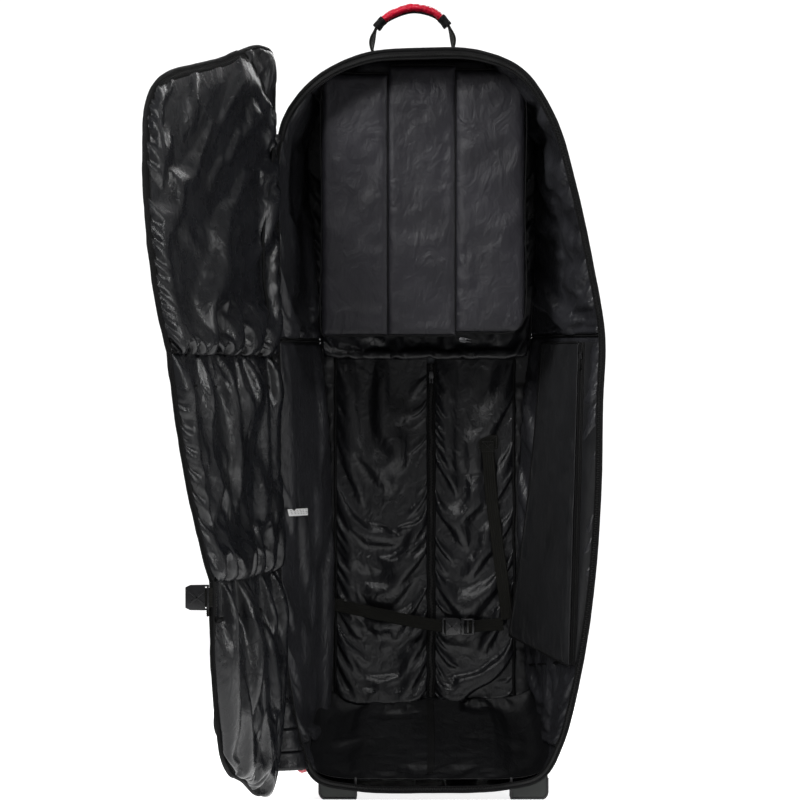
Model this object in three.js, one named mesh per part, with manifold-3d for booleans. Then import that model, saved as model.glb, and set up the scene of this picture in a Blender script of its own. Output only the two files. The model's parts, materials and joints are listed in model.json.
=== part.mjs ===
// A wheeled snowboard bag, standing on two wheels and two front feet with its lid swung open.
// Millimetres, +Z up. The bag is drawn in its own frame and moved to its origin at the end:
// x = 0 is near the middle of the bag, y = 0 is the outside of the back, -y is the open front
// and z = 0 is the floor. The lid is drawn closed and then turned about its hinge. It is a soft
// panel that twists as it hangs, so its three sections stand open by different angles.
import * as THREE from "three";
import { mergeVertices } from "three/addons/utils/BufferGeometryUtils.js";
import Module from "manifold-3d";

const wasm = await Module();
wasm.setup();

// ---- Driving dimensions ----
const DEPTH = 280; // back panel to rim
const GAP = 0.3; // between pieces that touch
const WALL = 7; // padded side walls
const BAND = 3.7; // zip tape on the rim
const SKIN = 4; // outer back panel
const BOARD = 3; // stiffener board behind the lining
const LINING = 6; // padded back lining
const MIDDLE = 7; // x of the middle of the wheelbase
const HINGE = { x: -312, y: -290.5 };
const LID = 5; // padded lid panel
// Sections of the lid: lowest and highest z, degrees open.
const SECTIONS = {
  lower: [-20, 461.5, 99.5],
  middle: [462.5, 889.5, 107],
  upper: [890.5, 1600, 115],
};

// Outline stations, anticlockwise from the bottom: rim x, rim z, back x, back z.
const STATIONS = [
  [0, 14, 0, 44],
  [150, 20, 140, 44],
  [226, 42, 205, 54],
  [264, 104, 222, 116],
  [296, 220, 212, 224],
  [326, 400, 196, 400],
  [342, 600, 190, 600],
  [346, 790, 200, 790],
  [350, 930, 216, 930],
  [327, 1070, 228, 1070],
  [295, 1220, 230, 1214],
  [252, 1364, 222, 1350],
  [186, 1462, 172, 1446],
  [96, 1500, 92, 1480],
  [-20, 1504, -20, 1486],
  [-130, 1494, -126, 1474],
  [-224, 1450, -214, 1434],
  [-288, 1376, -256, 1356],
  [-310, 1290, -262, 1262],
  [-310, 1100, -250, 1100],
  [-310, 920, -230, 920],
  [-310, 740, -212, 740],
  [-310, 560, -206, 560],
  [-304, 380, -206, 380],
  [-288, 230, -214, 230],
  [-264, 110, -222, 116],
  [-232, 40, -205, 54],
  [-150, 18, -140, 44],
];
// Where one panel of the wall is sewn to the next, as station numbers.
const SEAM = { baseRight: 3, right: 8, domeRight: 11.5, domeLeft: 17.2, left: 20, baseLeft: 25 };
const HINGE_TOP = 17.7; // the zip ends here
const HINGE_FOOT = 25.5; // and here

const WALL_FRONT = -DEPTH + BAND + GAP;
const WALL_BACK = -SKIN - GAP;

const bag = new THREE.Group();

// ---- Materials ----
const look = (color, roughness, metalness = 0) =>
  new THREE.MeshStandardMaterial({ color, roughness, metalness });
const material = {
  outer: look(0x1b1c1f, 0.85),
  lining: look(0x2a2b31, 0.55),
  pad: look(0x35353c, 0.6),
  webbing: look(0x141412, 0.9),
  tape: look(0x1d1d1c, 0.9),
  mesh: look(0x1f2125, 0.95),
  plastic: look(0x161718, 0.5),
  foot: look(0x4a4c4b, 0.6),
  buckle: look(0x232426, 0.3),
  grip: look(0xb3152e, 0.45),
  board: look(0x303336, 0.6),
  label: look(0xe9e9e6, 0.7),
  tyre: look(0x1c1d1e, 0.8),
  hub: look(0x8c8f93, 0.4),
  steel: look(0xb6b8ba, 0.3, 0.9),
};

// ---- Geometry helpers ----
function add(name, geometry, kind, parent = bag) {
  const mesh = new THREE.Mesh(geometry, material[kind]);
  mesh.name = name;
  parent.add(mesh);
  return mesh;
}

function volumeOf(positions, index) {
  const [a, b, c] = [new THREE.Vector3(), new THREE.Vector3(), new THREE.Vector3()];
  let total = 0;
  for (let i = 0; i < index.length; i += 3) {
    a.fromArray(positions, index[i] * 3);
    b.fromArray(positions, index[i + 1] * 3);
    c.fromArray(positions, index[i + 2] * 3);
    total += a.dot(b.cross(c)) / 6;
  }
  return total;
}

// The closed solid between two surfaces, each a function of u and v from 0 to 1.
function slab(front, rear, nu, nv = 1) {
  const positions = [];
  const index = [];
  const id = (side, i, j) => (side * (nu + 1) + i) * (nv + 1) + j;
  const quad = (a, b, c, d) => index.push(a, b, c, a, c, d);
  for (const surface of [front, rear])
    for (let i = 0; i <= nu; i++)
      for (let j = 0; j <= nv; j++) positions.push(...surface(i / nu, j / nv).toArray());
  for (let i = 0; i < nu; i++)
    for (let j = 0; j < nv; j++) {
      quad(id(0, i, j), id(0, i + 1, j), id(0, i + 1, j + 1), id(0, i, j + 1));
      quad(id(1, i, j), id(1, i, j + 1), id(1, i + 1, j + 1), id(1, i + 1, j));
    }
  for (let i = 0; i < nu; i++) {
    quad(id(0, i, 0), id(1, i, 0), id(1, i + 1, 0), id(0, i + 1, 0));
    quad(id(0, i, nv), id(0, i + 1, nv), id(1, i + 1, nv), id(1, i, nv));
  }
  for (let j = 0; j < nv; j++) {
    quad(id(0, 0, j), id(0, 0, j + 1), id(1, 0, j + 1), id(1, 0, j));
    quad(id(0, nu, j), id(1, nu, j), id(1, nu, j + 1), id(0, nu, j + 1));
  }
  if (volumeOf(positions, index) < 0) index.reverse();
  return new THREE.BufferGeometry()
    .setAttribute("position", new THREE.Float32BufferAttribute(positions, 3))
    .setIndex(index);
}

function box([x0, x1], [y0, y1], [z0, z1]) {
  return new THREE.BoxGeometry(x1 - x0, y1 - y0, z1 - z0).translate(
    (x0 + x1) / 2,
    (y0 + y1) / 2,
    (z0 + z1) / 2,
  );
}

// A shape drawn in x and z, as a plate from y0 (front) to y1 (back).
function plate(shape, y0, y1) {
  const settings = { depth: y1 - y0, bevelEnabled: false, curveSegments: 5 };
  return new THREE.ExtrudeGeometry(shape, settings).rotateX(Math.PI / 2).translate(0, y1, 0);
}

// A rectangle with a radius for each corner: bottom left, bottom right, top right, top left.
function rounded(x0, x1, z0, z1, [a, b, c, d]) {
  const shape = new THREE.Shape();
  shape.moveTo(x0 + a, z0);
  shape.lineTo(x1 - b, z0);
  if (b) shape.absarc(x1 - b, z0 + b, b, -Math.PI / 2, 0);
  shape.lineTo(x1, z1 - c);
  if (c) shape.absarc(x1 - c, z1 - c, c, 0, Math.PI / 2);
  shape.lineTo(x0 + d, z1);
  if (d) shape.absarc(x0 + d, z1 - d, d, Math.PI / 2, Math.PI);
  shape.lineTo(x0, z0 + a);
  if (a) shape.absarc(x0 + a, z0 + a, a, Math.PI, 1.5 * Math.PI);
  return shape;
}

// A strap: a flat section that runs through the points, with its width along "across".
function strap(points, across, width, thickness, steps) {
  const line = new THREE.CatmullRomCurve3(points.map((p) => new THREE.Vector3(...p)));
  const side = new THREE.Vector3(...across).normalize();
  const face = (sign) => (u, v) => {
    const normal = line.getTangent(u).cross(side).normalize();
    return line
      .getPoint(u)
      .addScaledVector(side, width * (v - 0.5))
      .addScaledVector(normal, (sign * thickness) / 2);
  };
  return slab(face(1), face(-1), steps);
}

// An oval tube through the points, "wide" along the section's first axis.
function ovalTube(points, radiusX, radiusY, steps) {
  const section = new THREE.Shape().absellipse(0, 0, radiusX, radiusY, 0, 2 * Math.PI);
  const extrudePath = new THREE.CatmullRomCurve3(points.map((p) => new THREE.Vector3(...p)));
  return new THREE.ExtrudeGeometry(section, { steps, extrudePath, curveSegments: 5 });
}

function solidOf(geometry) {
  const bare = new THREE.BufferGeometry().setAttribute("position", geometry.attributes.position);
  bare.setIndex(geometry.index);
  const merged = mergeVertices(bare, 1e-3);
  const triVerts = new Uint32Array(merged.index.array);
  const vertProperties = merged.attributes.position.array;
  return new wasm.Manifold(new wasm.Mesh({ numProp: 3, vertProperties, triVerts }));
}

function geometryOf(solid) {
  const { vertProperties, triVerts } = solid.getMesh();
  return new THREE.BufferGeometry()
    .setAttribute("position", new THREE.Float32BufferAttribute(vertProperties, 3))
    .setIndex([...triVerts]);
}

const cut = (geometry, ...tools) =>
  geometryOf(tools.reduce((left, tool) => left.subtract(solidOf(tool)), solidOf(geometry)));
const join = (geometry, ...others) =>
  geometryOf(others.reduce((sum, other) => sum.add(solidOf(other)), solidOf(geometry)));
const common = (geometry, other) => geometryOf(solidOf(geometry).intersect(solidOf(other)));

// ---- Outlines and the flared wall ----
const loop = (column, y) =>
  new THREE.CatmullRomCurve3(
    STATIONS.map((s) => new THREE.Vector3(s[column], y, s[column + 1])),
    true,
    "centripetal",
  );
const rim = loop(0, WALL_FRONT);
const back = loop(2, WALL_BACK);

// A point of an outline at station k, moved inwards in x and z.
function outline(curve, k, inset = 0) {
  const n = STATIONS.length;
  const t = (((k % n) + n) % n) / n;
  const along = curve.getTangent(t);
  const inwards = new THREE.Vector3(-along.z, 0, along.x).normalize();
  return curve.getPoint(t).addScaledVector(inwards, inset);
}

// A point of the wall: s runs from the rim, 0, to the back, 1.
const wallPoint = (k, s, inset = 0) =>
  outline(rim, k, inset).lerp(outline(back, k, inset), s);

// A piece of the wall from station k0 to k1 and from s0 to s1, between two insets.
function wallPanel([k0, k1], [s0, s1], [outside, inside], steps) {
  const face = (inset) => (u, v) =>
    wallPoint(k0 + (k1 - k0) * u, s0 + (s1 - s0) * v, inset);
  return slab(face(outside), face(inside), steps);
}

// A flat ring section that follows the rim, from y0 to y1.
function rimBand([k0, k1], [outside, inside], y0, y1, steps) {
  const face = (y) => (u, v) =>
    outline(rim, k0 + (k1 - k0) * u, outside + (inside - outside) * v).setY(y);
  return slab(face(y0), face(y1), steps);
}

function outlineShape(curve, inset, [k0, k1], count, adjust = (p) => p) {
  const points = [];
  for (let i = 0; i < count; i++) {
    const p = adjust(outline(curve, k0 + ((k1 - k0) * i) / count, inset));
    points.push(new THREE.Vector2(p.x, p.z));
  }
  return new THREE.Shape(points);
}

const ALL_ROUND = [0, STATIONS.length];
const SEW = 0.006; // half the gap at a seam, in stations

// ---- Base: wheels, housings, feet, floor ----
const WHEEL = { offset: 186, y: -22, radius: 45, width: 34 };
const HOUSING = { half: 30, wall: 7, y: [-84, 6], z: [14, 108] };
const AXLE_RADIUS = 4;
const BORE_RADIUS = 4.2;
const SIDES = [
  ["left", MIDDLE - WHEEL.offset, -1],
  ["right", MIDDLE + WHEEL.offset, 1],
];

const housingRoom = SIDES.map(([, x]) =>
  box(
    [x - HOUSING.half - 4, x + HOUSING.half + 4],
    [HOUSING.y[0] - GAP, HOUSING.y[1] + 20],
    [-20, HOUSING.z[1] + GAP],
  ),
);

// A ring turned about the wheel's axle, from its section of radius and distance along x.
function turned(profile, x, segments = 24) {
  const points = profile.map(([r, along]) => new THREE.Vector2(r, along));
  return new THREE.LatheGeometry([...points, points[0]], segments)
    .rotateZ(-Math.PI / 2)
    .translate(x, WHEEL.y, WHEEL.radius);
}

const ring = (inner, outer, half) => [
  [inner, -half],
  [outer, -half],
  [outer, half],
  [inner, half],
];

function wheel(side, x) {
  const half = WHEEL.width / 2;
  const tread = [
    [31, -half],
    [WHEEL.radius - 6, -half],
    [WHEEL.radius, -half + 8],
    [WHEEL.radius, half - 8],
    [WHEEL.radius - 6, half],
    [31, half],
  ];
  add(`${side}_tyre`, turned(tread, x, 32), "tyre");
  add(`${side}_wheel_hub`, turned(ring(BORE_RADIUS, 31 - GAP, half), x, 32), "hub");
}

function axle(side, x) {
  const head = HOUSING.half + 3;
  const profile = [
    [0, -head],
    [7, -head],
    [7, -HOUSING.half - GAP],
    [AXLE_RADIUS, -HOUSING.half - GAP],
    [AXLE_RADIUS, HOUSING.half + GAP],
    [7, HOUSING.half + GAP],
    [7, head],
    [0, head],
  ];
  const points = profile.map(([r, along]) => new THREE.Vector2(r, along));
  const shaft = new THREE.LatheGeometry(points, 24)
    .rotateZ(-Math.PI / 2)
    .translate(x, WHEEL.y, WHEEL.radius);
  add(`${side}_axle`, shaft, "steel");
}

function housing(side, x) {
  const { half, wall, y, z } = HOUSING;
  const block = box([x - half, x + half], y, z);
  const hollow = box([x - half + wall, x + half - wall], [y[0] + 10, y[1] + 10], [-10, z[1] - 8]);
  const hole = new THREE.CylinderGeometry(BORE_RADIUS, BORE_RADIUS, 90, 24)
    .rotateZ(Math.PI / 2)
    .translate(x, WHEEL.y, WHEEL.radius);
  add(`${side}_wheel_housing`, cut(block, hollow, hole), "plastic");
}

function foot(side, x, outwards) {
  const FOOT = { half: 36, y: [-268, -206], top: 60, radius: 16, inner: 3 };
  const corners = outwards < 0 ? [FOOT.radius, FOOT.inner, 0, 0] : [FOOT.inner, FOOT.radius, 0, 0];
  const shape = rounded(x - FOOT.half, x + FOOT.half, 0, FOOT.top, corners);
  const above = wallPanel([SEAM.baseLeft - 1, 32], [0, 1], [-1.5, 70], 36);
  add(`${side}_front_foot`, cut(plate(shape, ...FOOT.y), above), "foot");
}

function base() {
  const underside = wallPanel(
    [SEAM.baseLeft + SEW, STATIONS.length + SEAM.baseRight - SEW],
    [0, 1],
    [0, 5],
    24,
  );
  const housings = housingRoom.map((room) => room.clone());
  add("base_tub", cut(underside, ...housings), "plastic");
  const FLOOR = { front: [-262, 35, 186], rear: [-24, 186, 182], thick: 5 };
  const surface = (lift) => (u, v) => {
    const [y0, z0, half0] = FLOOR.front;
    const [y1, z1, half1] = FLOOR.rear;
    const half = half0 + (half1 - half0) * u;
    return new THREE.Vector3((2 * v - 1) * half, y0 + (y1 - y0) * u, z0 + (z1 - z0) * u + lift);
  };
  add("base_floor", slab(surface(FLOOR.thick), surface(0), 4), "lining");
  for (const [side, x, outwards] of SIDES) {
    housing(side, x);
    wheel(side, x);
    axle(side, x);
    foot(side, x + outwards * 6, outwards);
  }
}

// ---- Walls, rim and back ----
function walls() {
  const panels = [
    ["gusset_lower_right", SEAM.baseRight, SEAM.right, 14],
    ["gusset_upper_right", SEAM.right, SEAM.domeRight, 12],
    ["gusset_dome", SEAM.domeRight, SEAM.domeLeft, 24],
    ["gusset_upper_left", SEAM.domeLeft, SEAM.left, 10],
    ["gusset_lower_left", SEAM.left, SEAM.baseLeft, 14],
  ];
  for (const [name, k0, k1, steps] of panels)
    add(name, wallPanel([k0 + SEW, k1 - SEW], [0, 1], [0, WALL], steps), "outer");
  const zip = [HINGE_FOOT - STATIONS.length + SEW, HINGE_TOP - SEW];
  const hinge = [HINGE_TOP + SEW, HINGE_FOOT - SEW];
  add("rim_zip_tape", rimBand(zip, [0, 24], -DEPTH, -DEPTH + BAND, 76), "tape");
  add("hinge_tape", rimBand(hinge, [0, 14], -DEPTH, -DEPTH + BAND, 24), "tape");
}

function backPanel() {
  const skin = plate(outlineShape(back, 0, ALL_ROUND, 84), -SKIN, 0);
  add("back_panel", cut(skin, ...housingRoom), "outer");
  const board = plate(outlineShape(back, 14, ALL_ROUND, 56), -SKIN - GAP - BOARD, -SKIN - GAP);
  add("stiffener_board", cut(board, ...housingRoom), "board");
  const front = -SKIN - BOARD - LINING - 2 * GAP;
  const rear = front + LINING;
  const LOW = { z: [196, 874], left: -192, zip: [-4, 12], right: 174 };
  add("liner_lower_left", box([LOW.left, LOW.zip[0] - 1], [front, rear], LOW.z), "lining");
  add("liner_lower_right", box([LOW.zip[1] + 1, LOW.right], [front, rear], LOW.z), "lining");
  add("liner_zip_tape", box(LOW.zip, [front + 2, rear], LOW.z), "tape");
  const upper = outlineShape(back, WALL + 3, [SEAM.right - 0.2, SEAM.left + 0.2], 44);
  add("liner_upper", plate(upper, front, rear), "lining");
}

// A slider body with its pull hanging from it, in front of y at the given x and z.
function slider(name, x, y, z, parent = bag) {
  const body = box([x - 5, x + 5], [y - 5, y], [z - 7, z + 7]);
  const pull = box([x - 3, x + 3], [y - 6.5, y - 4], [z - 32, z - 4]);
  add(name, join(body, pull), "steel", parent);
}

function linerSlider() {
  slider("liner_zip_slider", 4, -SKIN - BOARD - LINING - 2 * GAP - 1, 856);
}

// A straight-sided cloth between two lines, each from its top to its bottom.
function tautPanel([frontTop, frontFoot], [rearTop, rearFoot], thickness) {
  const corners = [frontTop, frontFoot, rearTop, rearFoot].map((p) => new THREE.Vector3(...p));
  const [a, b, c, d] = corners;
  const normal = b.clone().sub(a).cross(c.clone().sub(a)).normalize();
  const face = (sign) => (u, v) => {
    const along = a.clone().lerp(b, u);
    return along.lerp(c.clone().lerp(d, u), v).addScaledVector(normal, (sign * thickness) / 2);
  };
  return slab(face(1), face(-1), 4);
}

function sidePocket() {
  const zip = {
    front: [[309, -216, 916], [289, -262, 284]],
    rear: [[304.5, -207, 916], [284.5, -253, 284]],
  };
  const cloth = {
    front: [[300, -204, 916], [280, -250, 284]],
    rear: [[230, -76, 916], [214, -84, 284]],
  };
  add("side_pocket", tautPanel(cloth.front, cloth.rear, 3), "mesh");
  add("side_pocket_zip_tape", tautPanel(zip.front, zip.rear, 2), "tape");
  const body = box([-5, 5], [-5, 0], [-7, 7]);
  const pull = box([-3, 3], [-6.5, -4], [-32, -4]);
  const along = join(body, pull).rotateX(-0.061).rotateY(-0.051).rotateZ(Math.atan2(-9, 4.5));
  add("side_pocket_slider", along.translate(304.6, -214.1, 890), "steel");
}

function careLabel() {
  add("care_label", wallPanel([21.93, 22.0], [0.18, 0.5], [WALL + 1, WALL + 2.5], 2), "label");
}

// ---- Grab handles ----
const HANDLE = { webbing: 4, width: 34, gripX: 8.5, gripY: 17 };

function topHandle() {
  const y = -140;
  const legs = [
    ["left", [[-115, y, 1503], [-116, y, 1520], [-109, y, 1540]]],
    ["right", [[46, y, 1509], [47, y, 1524], [40, y, 1545]]],
  ];
  for (const [side, points] of legs) {
    const leg = strap(points, [0, 1, 0], HANDLE.width, HANDLE.webbing, 4);
    add(`top_handle_${side}_webbing`, leg, "webbing");
  }
  const arc = [[-106, y, 1546], [-76, y, 1568], [-34, y, 1577], [6, y, 1570], [36, y, 1551]];
  add("top_handle_grip", ovalTube(arc, HANDLE.gripX, HANDLE.gripY, 12), "grip");
}

function lowerHandle() {
  const legs = [
    ["front", [[-262, -208, 104], [-266, -207, 92], [-263, -205, 80]]],
    ["rear", [[-240, -86, 104], [-249, -88, 92], [-252, -92, 81]]],
  ];
  for (const [side, points] of legs)
    add(`lower_handle_${side}_webbing`, strap(points, [0.15, 1, 0], 22, HANDLE.webbing, 4), "webbing");
  const arc = [[-262, -205, 68], [-259, -178, 60], [-256, -147, 56], [-254, -119, 60], [-252, -92, 69]];
  add("lower_handle_grip", ovalTube(arc, 11, 11, 10), "grip");
}

// ---- Folded divider pad ----
const PAD = { y: [-210, -192], left: -216, fold: [-84, 52], right: 190, z: [930, 1448] };

function dividerPad() {
  const { y, left, fold, right, z } = PAD;
  const seam = 1;
  const leftWing = rounded(left, fold[0] - seam, z[0], z[1] - 18, [4, 0, 0, 26]);
  const rightWing = rounded(fold[1] + seam, right, z[0] + 6, z[1] - 14, [0, 34, 44, 0]);
  const rear = rounded(-160, 120, 960, 1466, [10, 10, 16, 16]);
  add("pad_left_panel", plate(leftWing, ...y), "pad");
  add("pad_centre_panel", box([fold[0] + seam, fold[1] - seam], y, z), "pad");
  add("pad_right_panel", plate(rightWing, ...y), "pad");
  add("pad_rear_layer", plate(rear, y[1] + 2, y[1] + 14), "pad");
  add("pad_hanger", box([-120, 80], [y[1] + 20, -SKIN - BOARD - LINING - 4], [1440, 1446]), "webbing");
}

// ---- Inner strap and its side-release buckle ----
const CINCH = { y: -38, z: 342, webbing: 25, thick: 2 };

// The socket half, opening towards +x, from x0.
function socket(x0, length, height, depth, y, z) {
  const shell = box([x0, x0 + length], [y - depth / 2, y + depth / 2], [z - height / 2, z + height / 2]);
  const wall = 2.5;
  const cavity = box(
    [x0 + 8, x0 + length + 1],
    [y - depth / 2 + wall, y + depth / 2 - wall],
    [z - height / 2 + wall, z + height / 2 - wall],
  );
  return cut(shell, cavity);
}

// The plug half: a frame with a webbing slot, and a tongue towards -x that enters the socket.
function plug(x0, x1, tongue, height, depth, y, z) {
  const frame = box([x0, x1], [y - depth / 2, y + depth / 2], [z - height / 2, z + height / 2]);
  const slot = box([x1 - 11, x1 - 5], [y - depth, y + depth], [z - height / 2 + 4, z + height / 2 - 4]);
  const nose = box([x0 - tongue, x0 + 1], [y - depth / 4, y + depth / 4], [z - height / 3, z + height / 3]);
  return join(cut(frame, slot), nose);
}

function cinchStrap() {
  const { y, z, webbing, thick } = CINCH;
  const left = [[-190, -26, 386], [-140, -34, 376], [-50, -39, 357], [26, y, z]];
  add("cinch_strap_left", strap(left, [0.12, 0, 1], webbing, thick, 8), "webbing");
  add("cinch_buckle_socket", socket(28, 36, 36, 11, y - 1, z), "buckle");
  add("cinch_buckle_plug", plug(65, 92, 26, 34, 9, y - 1, z), "buckle");
  const right = [[72, -31, z], [112, -29, z + 2], [152, -26, z + 4]];
  add("cinch_strap_right", strap(right, [0, 0, 1], webbing, thick, 6), "webbing");
  const upright = [[120, -22, 706], [128, -24, 600], [146, -26, 460], [156, -24, 384]];
  const patch = box([94, 146], [-22, -18], [698, 730]);
  add("upright_strap", join(strap(upright, [1, 0, 0.08], webbing, thick, 8), patch), "webbing");
}

// ---- Lid, drawn closed and turned open ----
const CLOSED = { front: -DEPTH - 9.5, lining: -DEPTH - 4.2, tape: -DEPTH - 1.5 };

// A group that holds a section of the lid as it is drawn closed, and stands it open.
function openSection([, , degrees]) {
  const swing = new THREE.Group();
  const section = new THREE.Group();
  section.position.set(-HINGE.x, -HINGE.y, 0);
  swing.position.set(HINGE.x, HINGE.y, 0);
  swing.rotation.z = THREE.MathUtils.degToRad(-degrees);
  swing.add(section);
  bag.add(swing);
  return section;
}

// The lid is cut short at its free bottom corner, by up to 30 mm.
function lidTrim(p) {
  const free = THREE.MathUtils.smoothstep(p.x, -200, 240);
  const low = 1 - THREE.MathUtils.smoothstep(p.z, 60, 300);
  p.z += 30 * free * low;
  return p;
}

function lidSections() {
  const whole = plate(outlineShape(rim, 3, ALL_ROUND, 84, lidTrim), CLOSED.front, CLOSED.front + LID);
  const tape = plate(outlineShape(rim, 4, ALL_ROUND, 84, lidTrim), CLOSED.front + LID - 1, CLOSED.tape);
  const inside = plate(outlineShape(rim, 18, ALL_ROUND, 84, lidTrim), CLOSED.front + LID, 0);
  const lining = plate(outlineShape(rim, 20, ALL_ROUND, 70, lidTrim), CLOSED.lining, CLOSED.lining + 2);
  const panel = join(whole, cut(tape, inside));
  for (const [place, section] of Object.entries(SECTIONS)) {
    const slice = box([-900, 900], [-900, 900], section.slice(0, 2));
    const group = openSection(section);
    add(`lid_${place}_panel`, common(panel, slice), "outer", group);
    add(`lid_${place}_lining`, common(lining, slice), "lining", group);
  }
}

function lidPocket(name, section, shape, x, z) {
  const front = CLOSED.front - 4.3;
  const group = openSection(section);
  add(`${name}_pocket`, plate(shape, front, front + 4), "outer", group);
  slider(`${name}_pocket_slider`, x, front - 1, z, group);
}

function compressionStrap() {
  const z = 414;
  const y = CLOSED.front - 1.5;
  const lower = openSection(SECTIONS.lower);
  const webbing = box([-296, 336], [y - 1, y + 1], [z - 19, z + 19]);
  add("lid_compression_strap", webbing, "webbing", lower);
  const turn = new THREE.Group();
  turn.position.set(345, y, z);
  turn.rotation.z = THREE.MathUtils.degToRad(SECTIONS.lower[2] - 180);
  lower.add(turn);
  add("lid_compression_socket", socket(0, 44, 48, 13, 0, 0), "buckle", turn);
  const onWall = (s) => wallPoint(5.1, s, -4).toArray();
  const route = [onWall(0.97), onWall(0.7), onWall(0.42)];
  add("shell_compression_strap", strap(route, [0, 0, 1], 38, 2, 4), "webbing");
  const at = wallPoint(5.1, 0.3, -13);
  const lean = Math.atan2(DEPTH, 130);
  const tongue = plug(0, 24, 22, 46, 10, 0, 0).rotateZ(Math.PI - lean);
  add("shell_compression_plug", tongue.translate(at.x, at.y, at.z), "buckle");
}

base();
walls();
backPanel();
linerSlider();
sidePocket();
careLabel();
topHandle();
lowerHandle();
dividerPad();
cinchStrap();
lidSections();
lidPocket("lid_large", SECTIONS.middle, rounded(-284, 296, 480, 868, [20, 20, 20, 20]), 0, 852);
lidPocket("lid_small", SECTIONS.lower, rounded(-262, 262, 84, 352, [30, 30, 20, 20]), -20, 338);
compressionStrap();

// The origin is on the floor, under the middle of the standing bag's box.
const middle = new THREE.Box3().setFromObject(bag, true).getCenter(new THREE.Vector3());
bag.position.set(-middle.x, -middle.y, 0);

const snowboardBag = new THREE.Group();
snowboardBag.add(bag);

export default snowboardBag;
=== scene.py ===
"""A wheeled snowboard bag, standing open, in Blender 4.5.

Shapes are drawn in the bag's own frame in millimetres: x = 0 near the middle, y = 0 on the
outside of the back, -y towards the open front and z = 0 on the floor. bag_to_row() moves them
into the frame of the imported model.
"""

import json
import math

import bmesh
import bpy
import numpy as np
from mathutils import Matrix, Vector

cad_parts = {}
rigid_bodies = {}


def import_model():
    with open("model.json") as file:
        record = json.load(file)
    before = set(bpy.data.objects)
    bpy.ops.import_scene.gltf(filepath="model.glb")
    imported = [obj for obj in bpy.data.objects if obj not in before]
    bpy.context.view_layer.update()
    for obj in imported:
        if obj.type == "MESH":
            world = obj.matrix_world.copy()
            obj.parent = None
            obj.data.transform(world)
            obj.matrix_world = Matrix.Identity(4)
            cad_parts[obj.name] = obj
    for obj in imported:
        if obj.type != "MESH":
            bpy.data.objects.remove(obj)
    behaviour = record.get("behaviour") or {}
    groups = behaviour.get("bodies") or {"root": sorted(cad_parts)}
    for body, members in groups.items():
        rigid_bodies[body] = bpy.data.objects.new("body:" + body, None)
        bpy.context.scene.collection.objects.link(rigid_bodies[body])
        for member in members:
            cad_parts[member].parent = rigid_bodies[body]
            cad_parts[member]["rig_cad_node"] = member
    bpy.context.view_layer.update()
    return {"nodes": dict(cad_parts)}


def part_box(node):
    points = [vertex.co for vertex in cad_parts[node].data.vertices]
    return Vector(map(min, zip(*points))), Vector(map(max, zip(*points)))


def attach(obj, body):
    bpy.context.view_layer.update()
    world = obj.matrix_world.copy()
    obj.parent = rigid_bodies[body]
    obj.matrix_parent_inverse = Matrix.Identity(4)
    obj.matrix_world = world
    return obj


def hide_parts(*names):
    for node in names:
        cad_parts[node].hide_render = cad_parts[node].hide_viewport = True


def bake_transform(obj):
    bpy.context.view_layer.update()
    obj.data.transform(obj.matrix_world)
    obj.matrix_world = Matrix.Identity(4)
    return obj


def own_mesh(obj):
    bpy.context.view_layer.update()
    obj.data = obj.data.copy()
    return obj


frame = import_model()

# Thickness of the lining cloth.
LINING = 1.2

# ---- Bag frame ----
WHEELBASE_MIDDLE, HALF_TRACK = 7.0, 186
_axles = [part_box(f"{side}_axle") for side in ("left", "right")]
_middle = sum(corner.x for pair in _axles for corner in pair) / 4
SHIFT = np.array([_middle * 1000 - WHEELBASE_MIDDLE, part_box("back_panel")[1].y * 1000, 0.0])

X, Y, Z = np.eye(3)
DEPTH = 280.0
# The body's outline at evenly numbered stations, anticlockwise from the foot: x and z at the rim,
# x and z at the back.
STATIONS = [
    (0, 14, 0, 44), (150, 20, 140, 44), (226, 42, 205, 54), (264, 104, 222, 116),
    (296, 220, 212, 224), (326, 400, 196, 400), (342, 600, 190, 600), (346, 790, 200, 790),
    (350, 930, 216, 930), (327, 1070, 228, 1070), (295, 1220, 230, 1214), (252, 1364, 222, 1350),
    (186, 1462, 172, 1446), (96, 1500, 92, 1480), (-20, 1504, -20, 1486), (-130, 1494, -126, 1474),
    (-224, 1450, -214, 1434), (-288, 1376, -256, 1356), (-310, 1290, -262, 1262),
    (-310, 1100, -250, 1100), (-310, 920, -230, 920), (-310, 740, -212, 740),
    (-310, 560, -206, 560), (-304, 380, -206, 380), (-288, 230, -214, 230), (-264, 110, -222, 116),
    (-232, 40, -205, 54), (-150, 18, -140, 44),
]
N_STATIONS = len(STATIONS)
HINGE = (-312.0, -290.5)
# Sections of the lid: lowest z, highest z, and degrees open in the frame.
SECTIONS = {"lower": (-20, 462, 99.5), "middle": (462, 890, 107.0), "upper": (890, 1600, 115.0)}


def bag_to_row(points):
    return (np.asarray(points, float) + SHIFT) / 1000


def row(x, y, z):
    return tuple(float(v) for v in bag_to_row((x, y, z)))


# ---- Numbers and noise ----
def smooth(t):
    t = np.clip(t, 0, 1)
    return t * t * (3 - 2 * t)


def step(x, low, high):
    return smooth((np.asarray(x, float) - low) / (high - low))


def corner_cut(distance, radius):
    """How far a rounded corner draws a side in, at a distance from its end."""
    if not radius:
        return 0.0 * distance
    d = np.clip(1 - distance / radius, 0, 1)
    return radius * (1 - np.sqrt(np.maximum(1 - d**2, 0)))


def bump(x, centre, half):
    """1 at the centre, 0 beyond half either way, smooth between."""
    return smooth(1 - np.abs(np.asarray(x, float) - centre) / half)


def xyz(x, y, z):
    """Points of three coordinates, numbers or arrays."""
    return np.stack(np.broadcast_arrays(x, y, z), -1)


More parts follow.
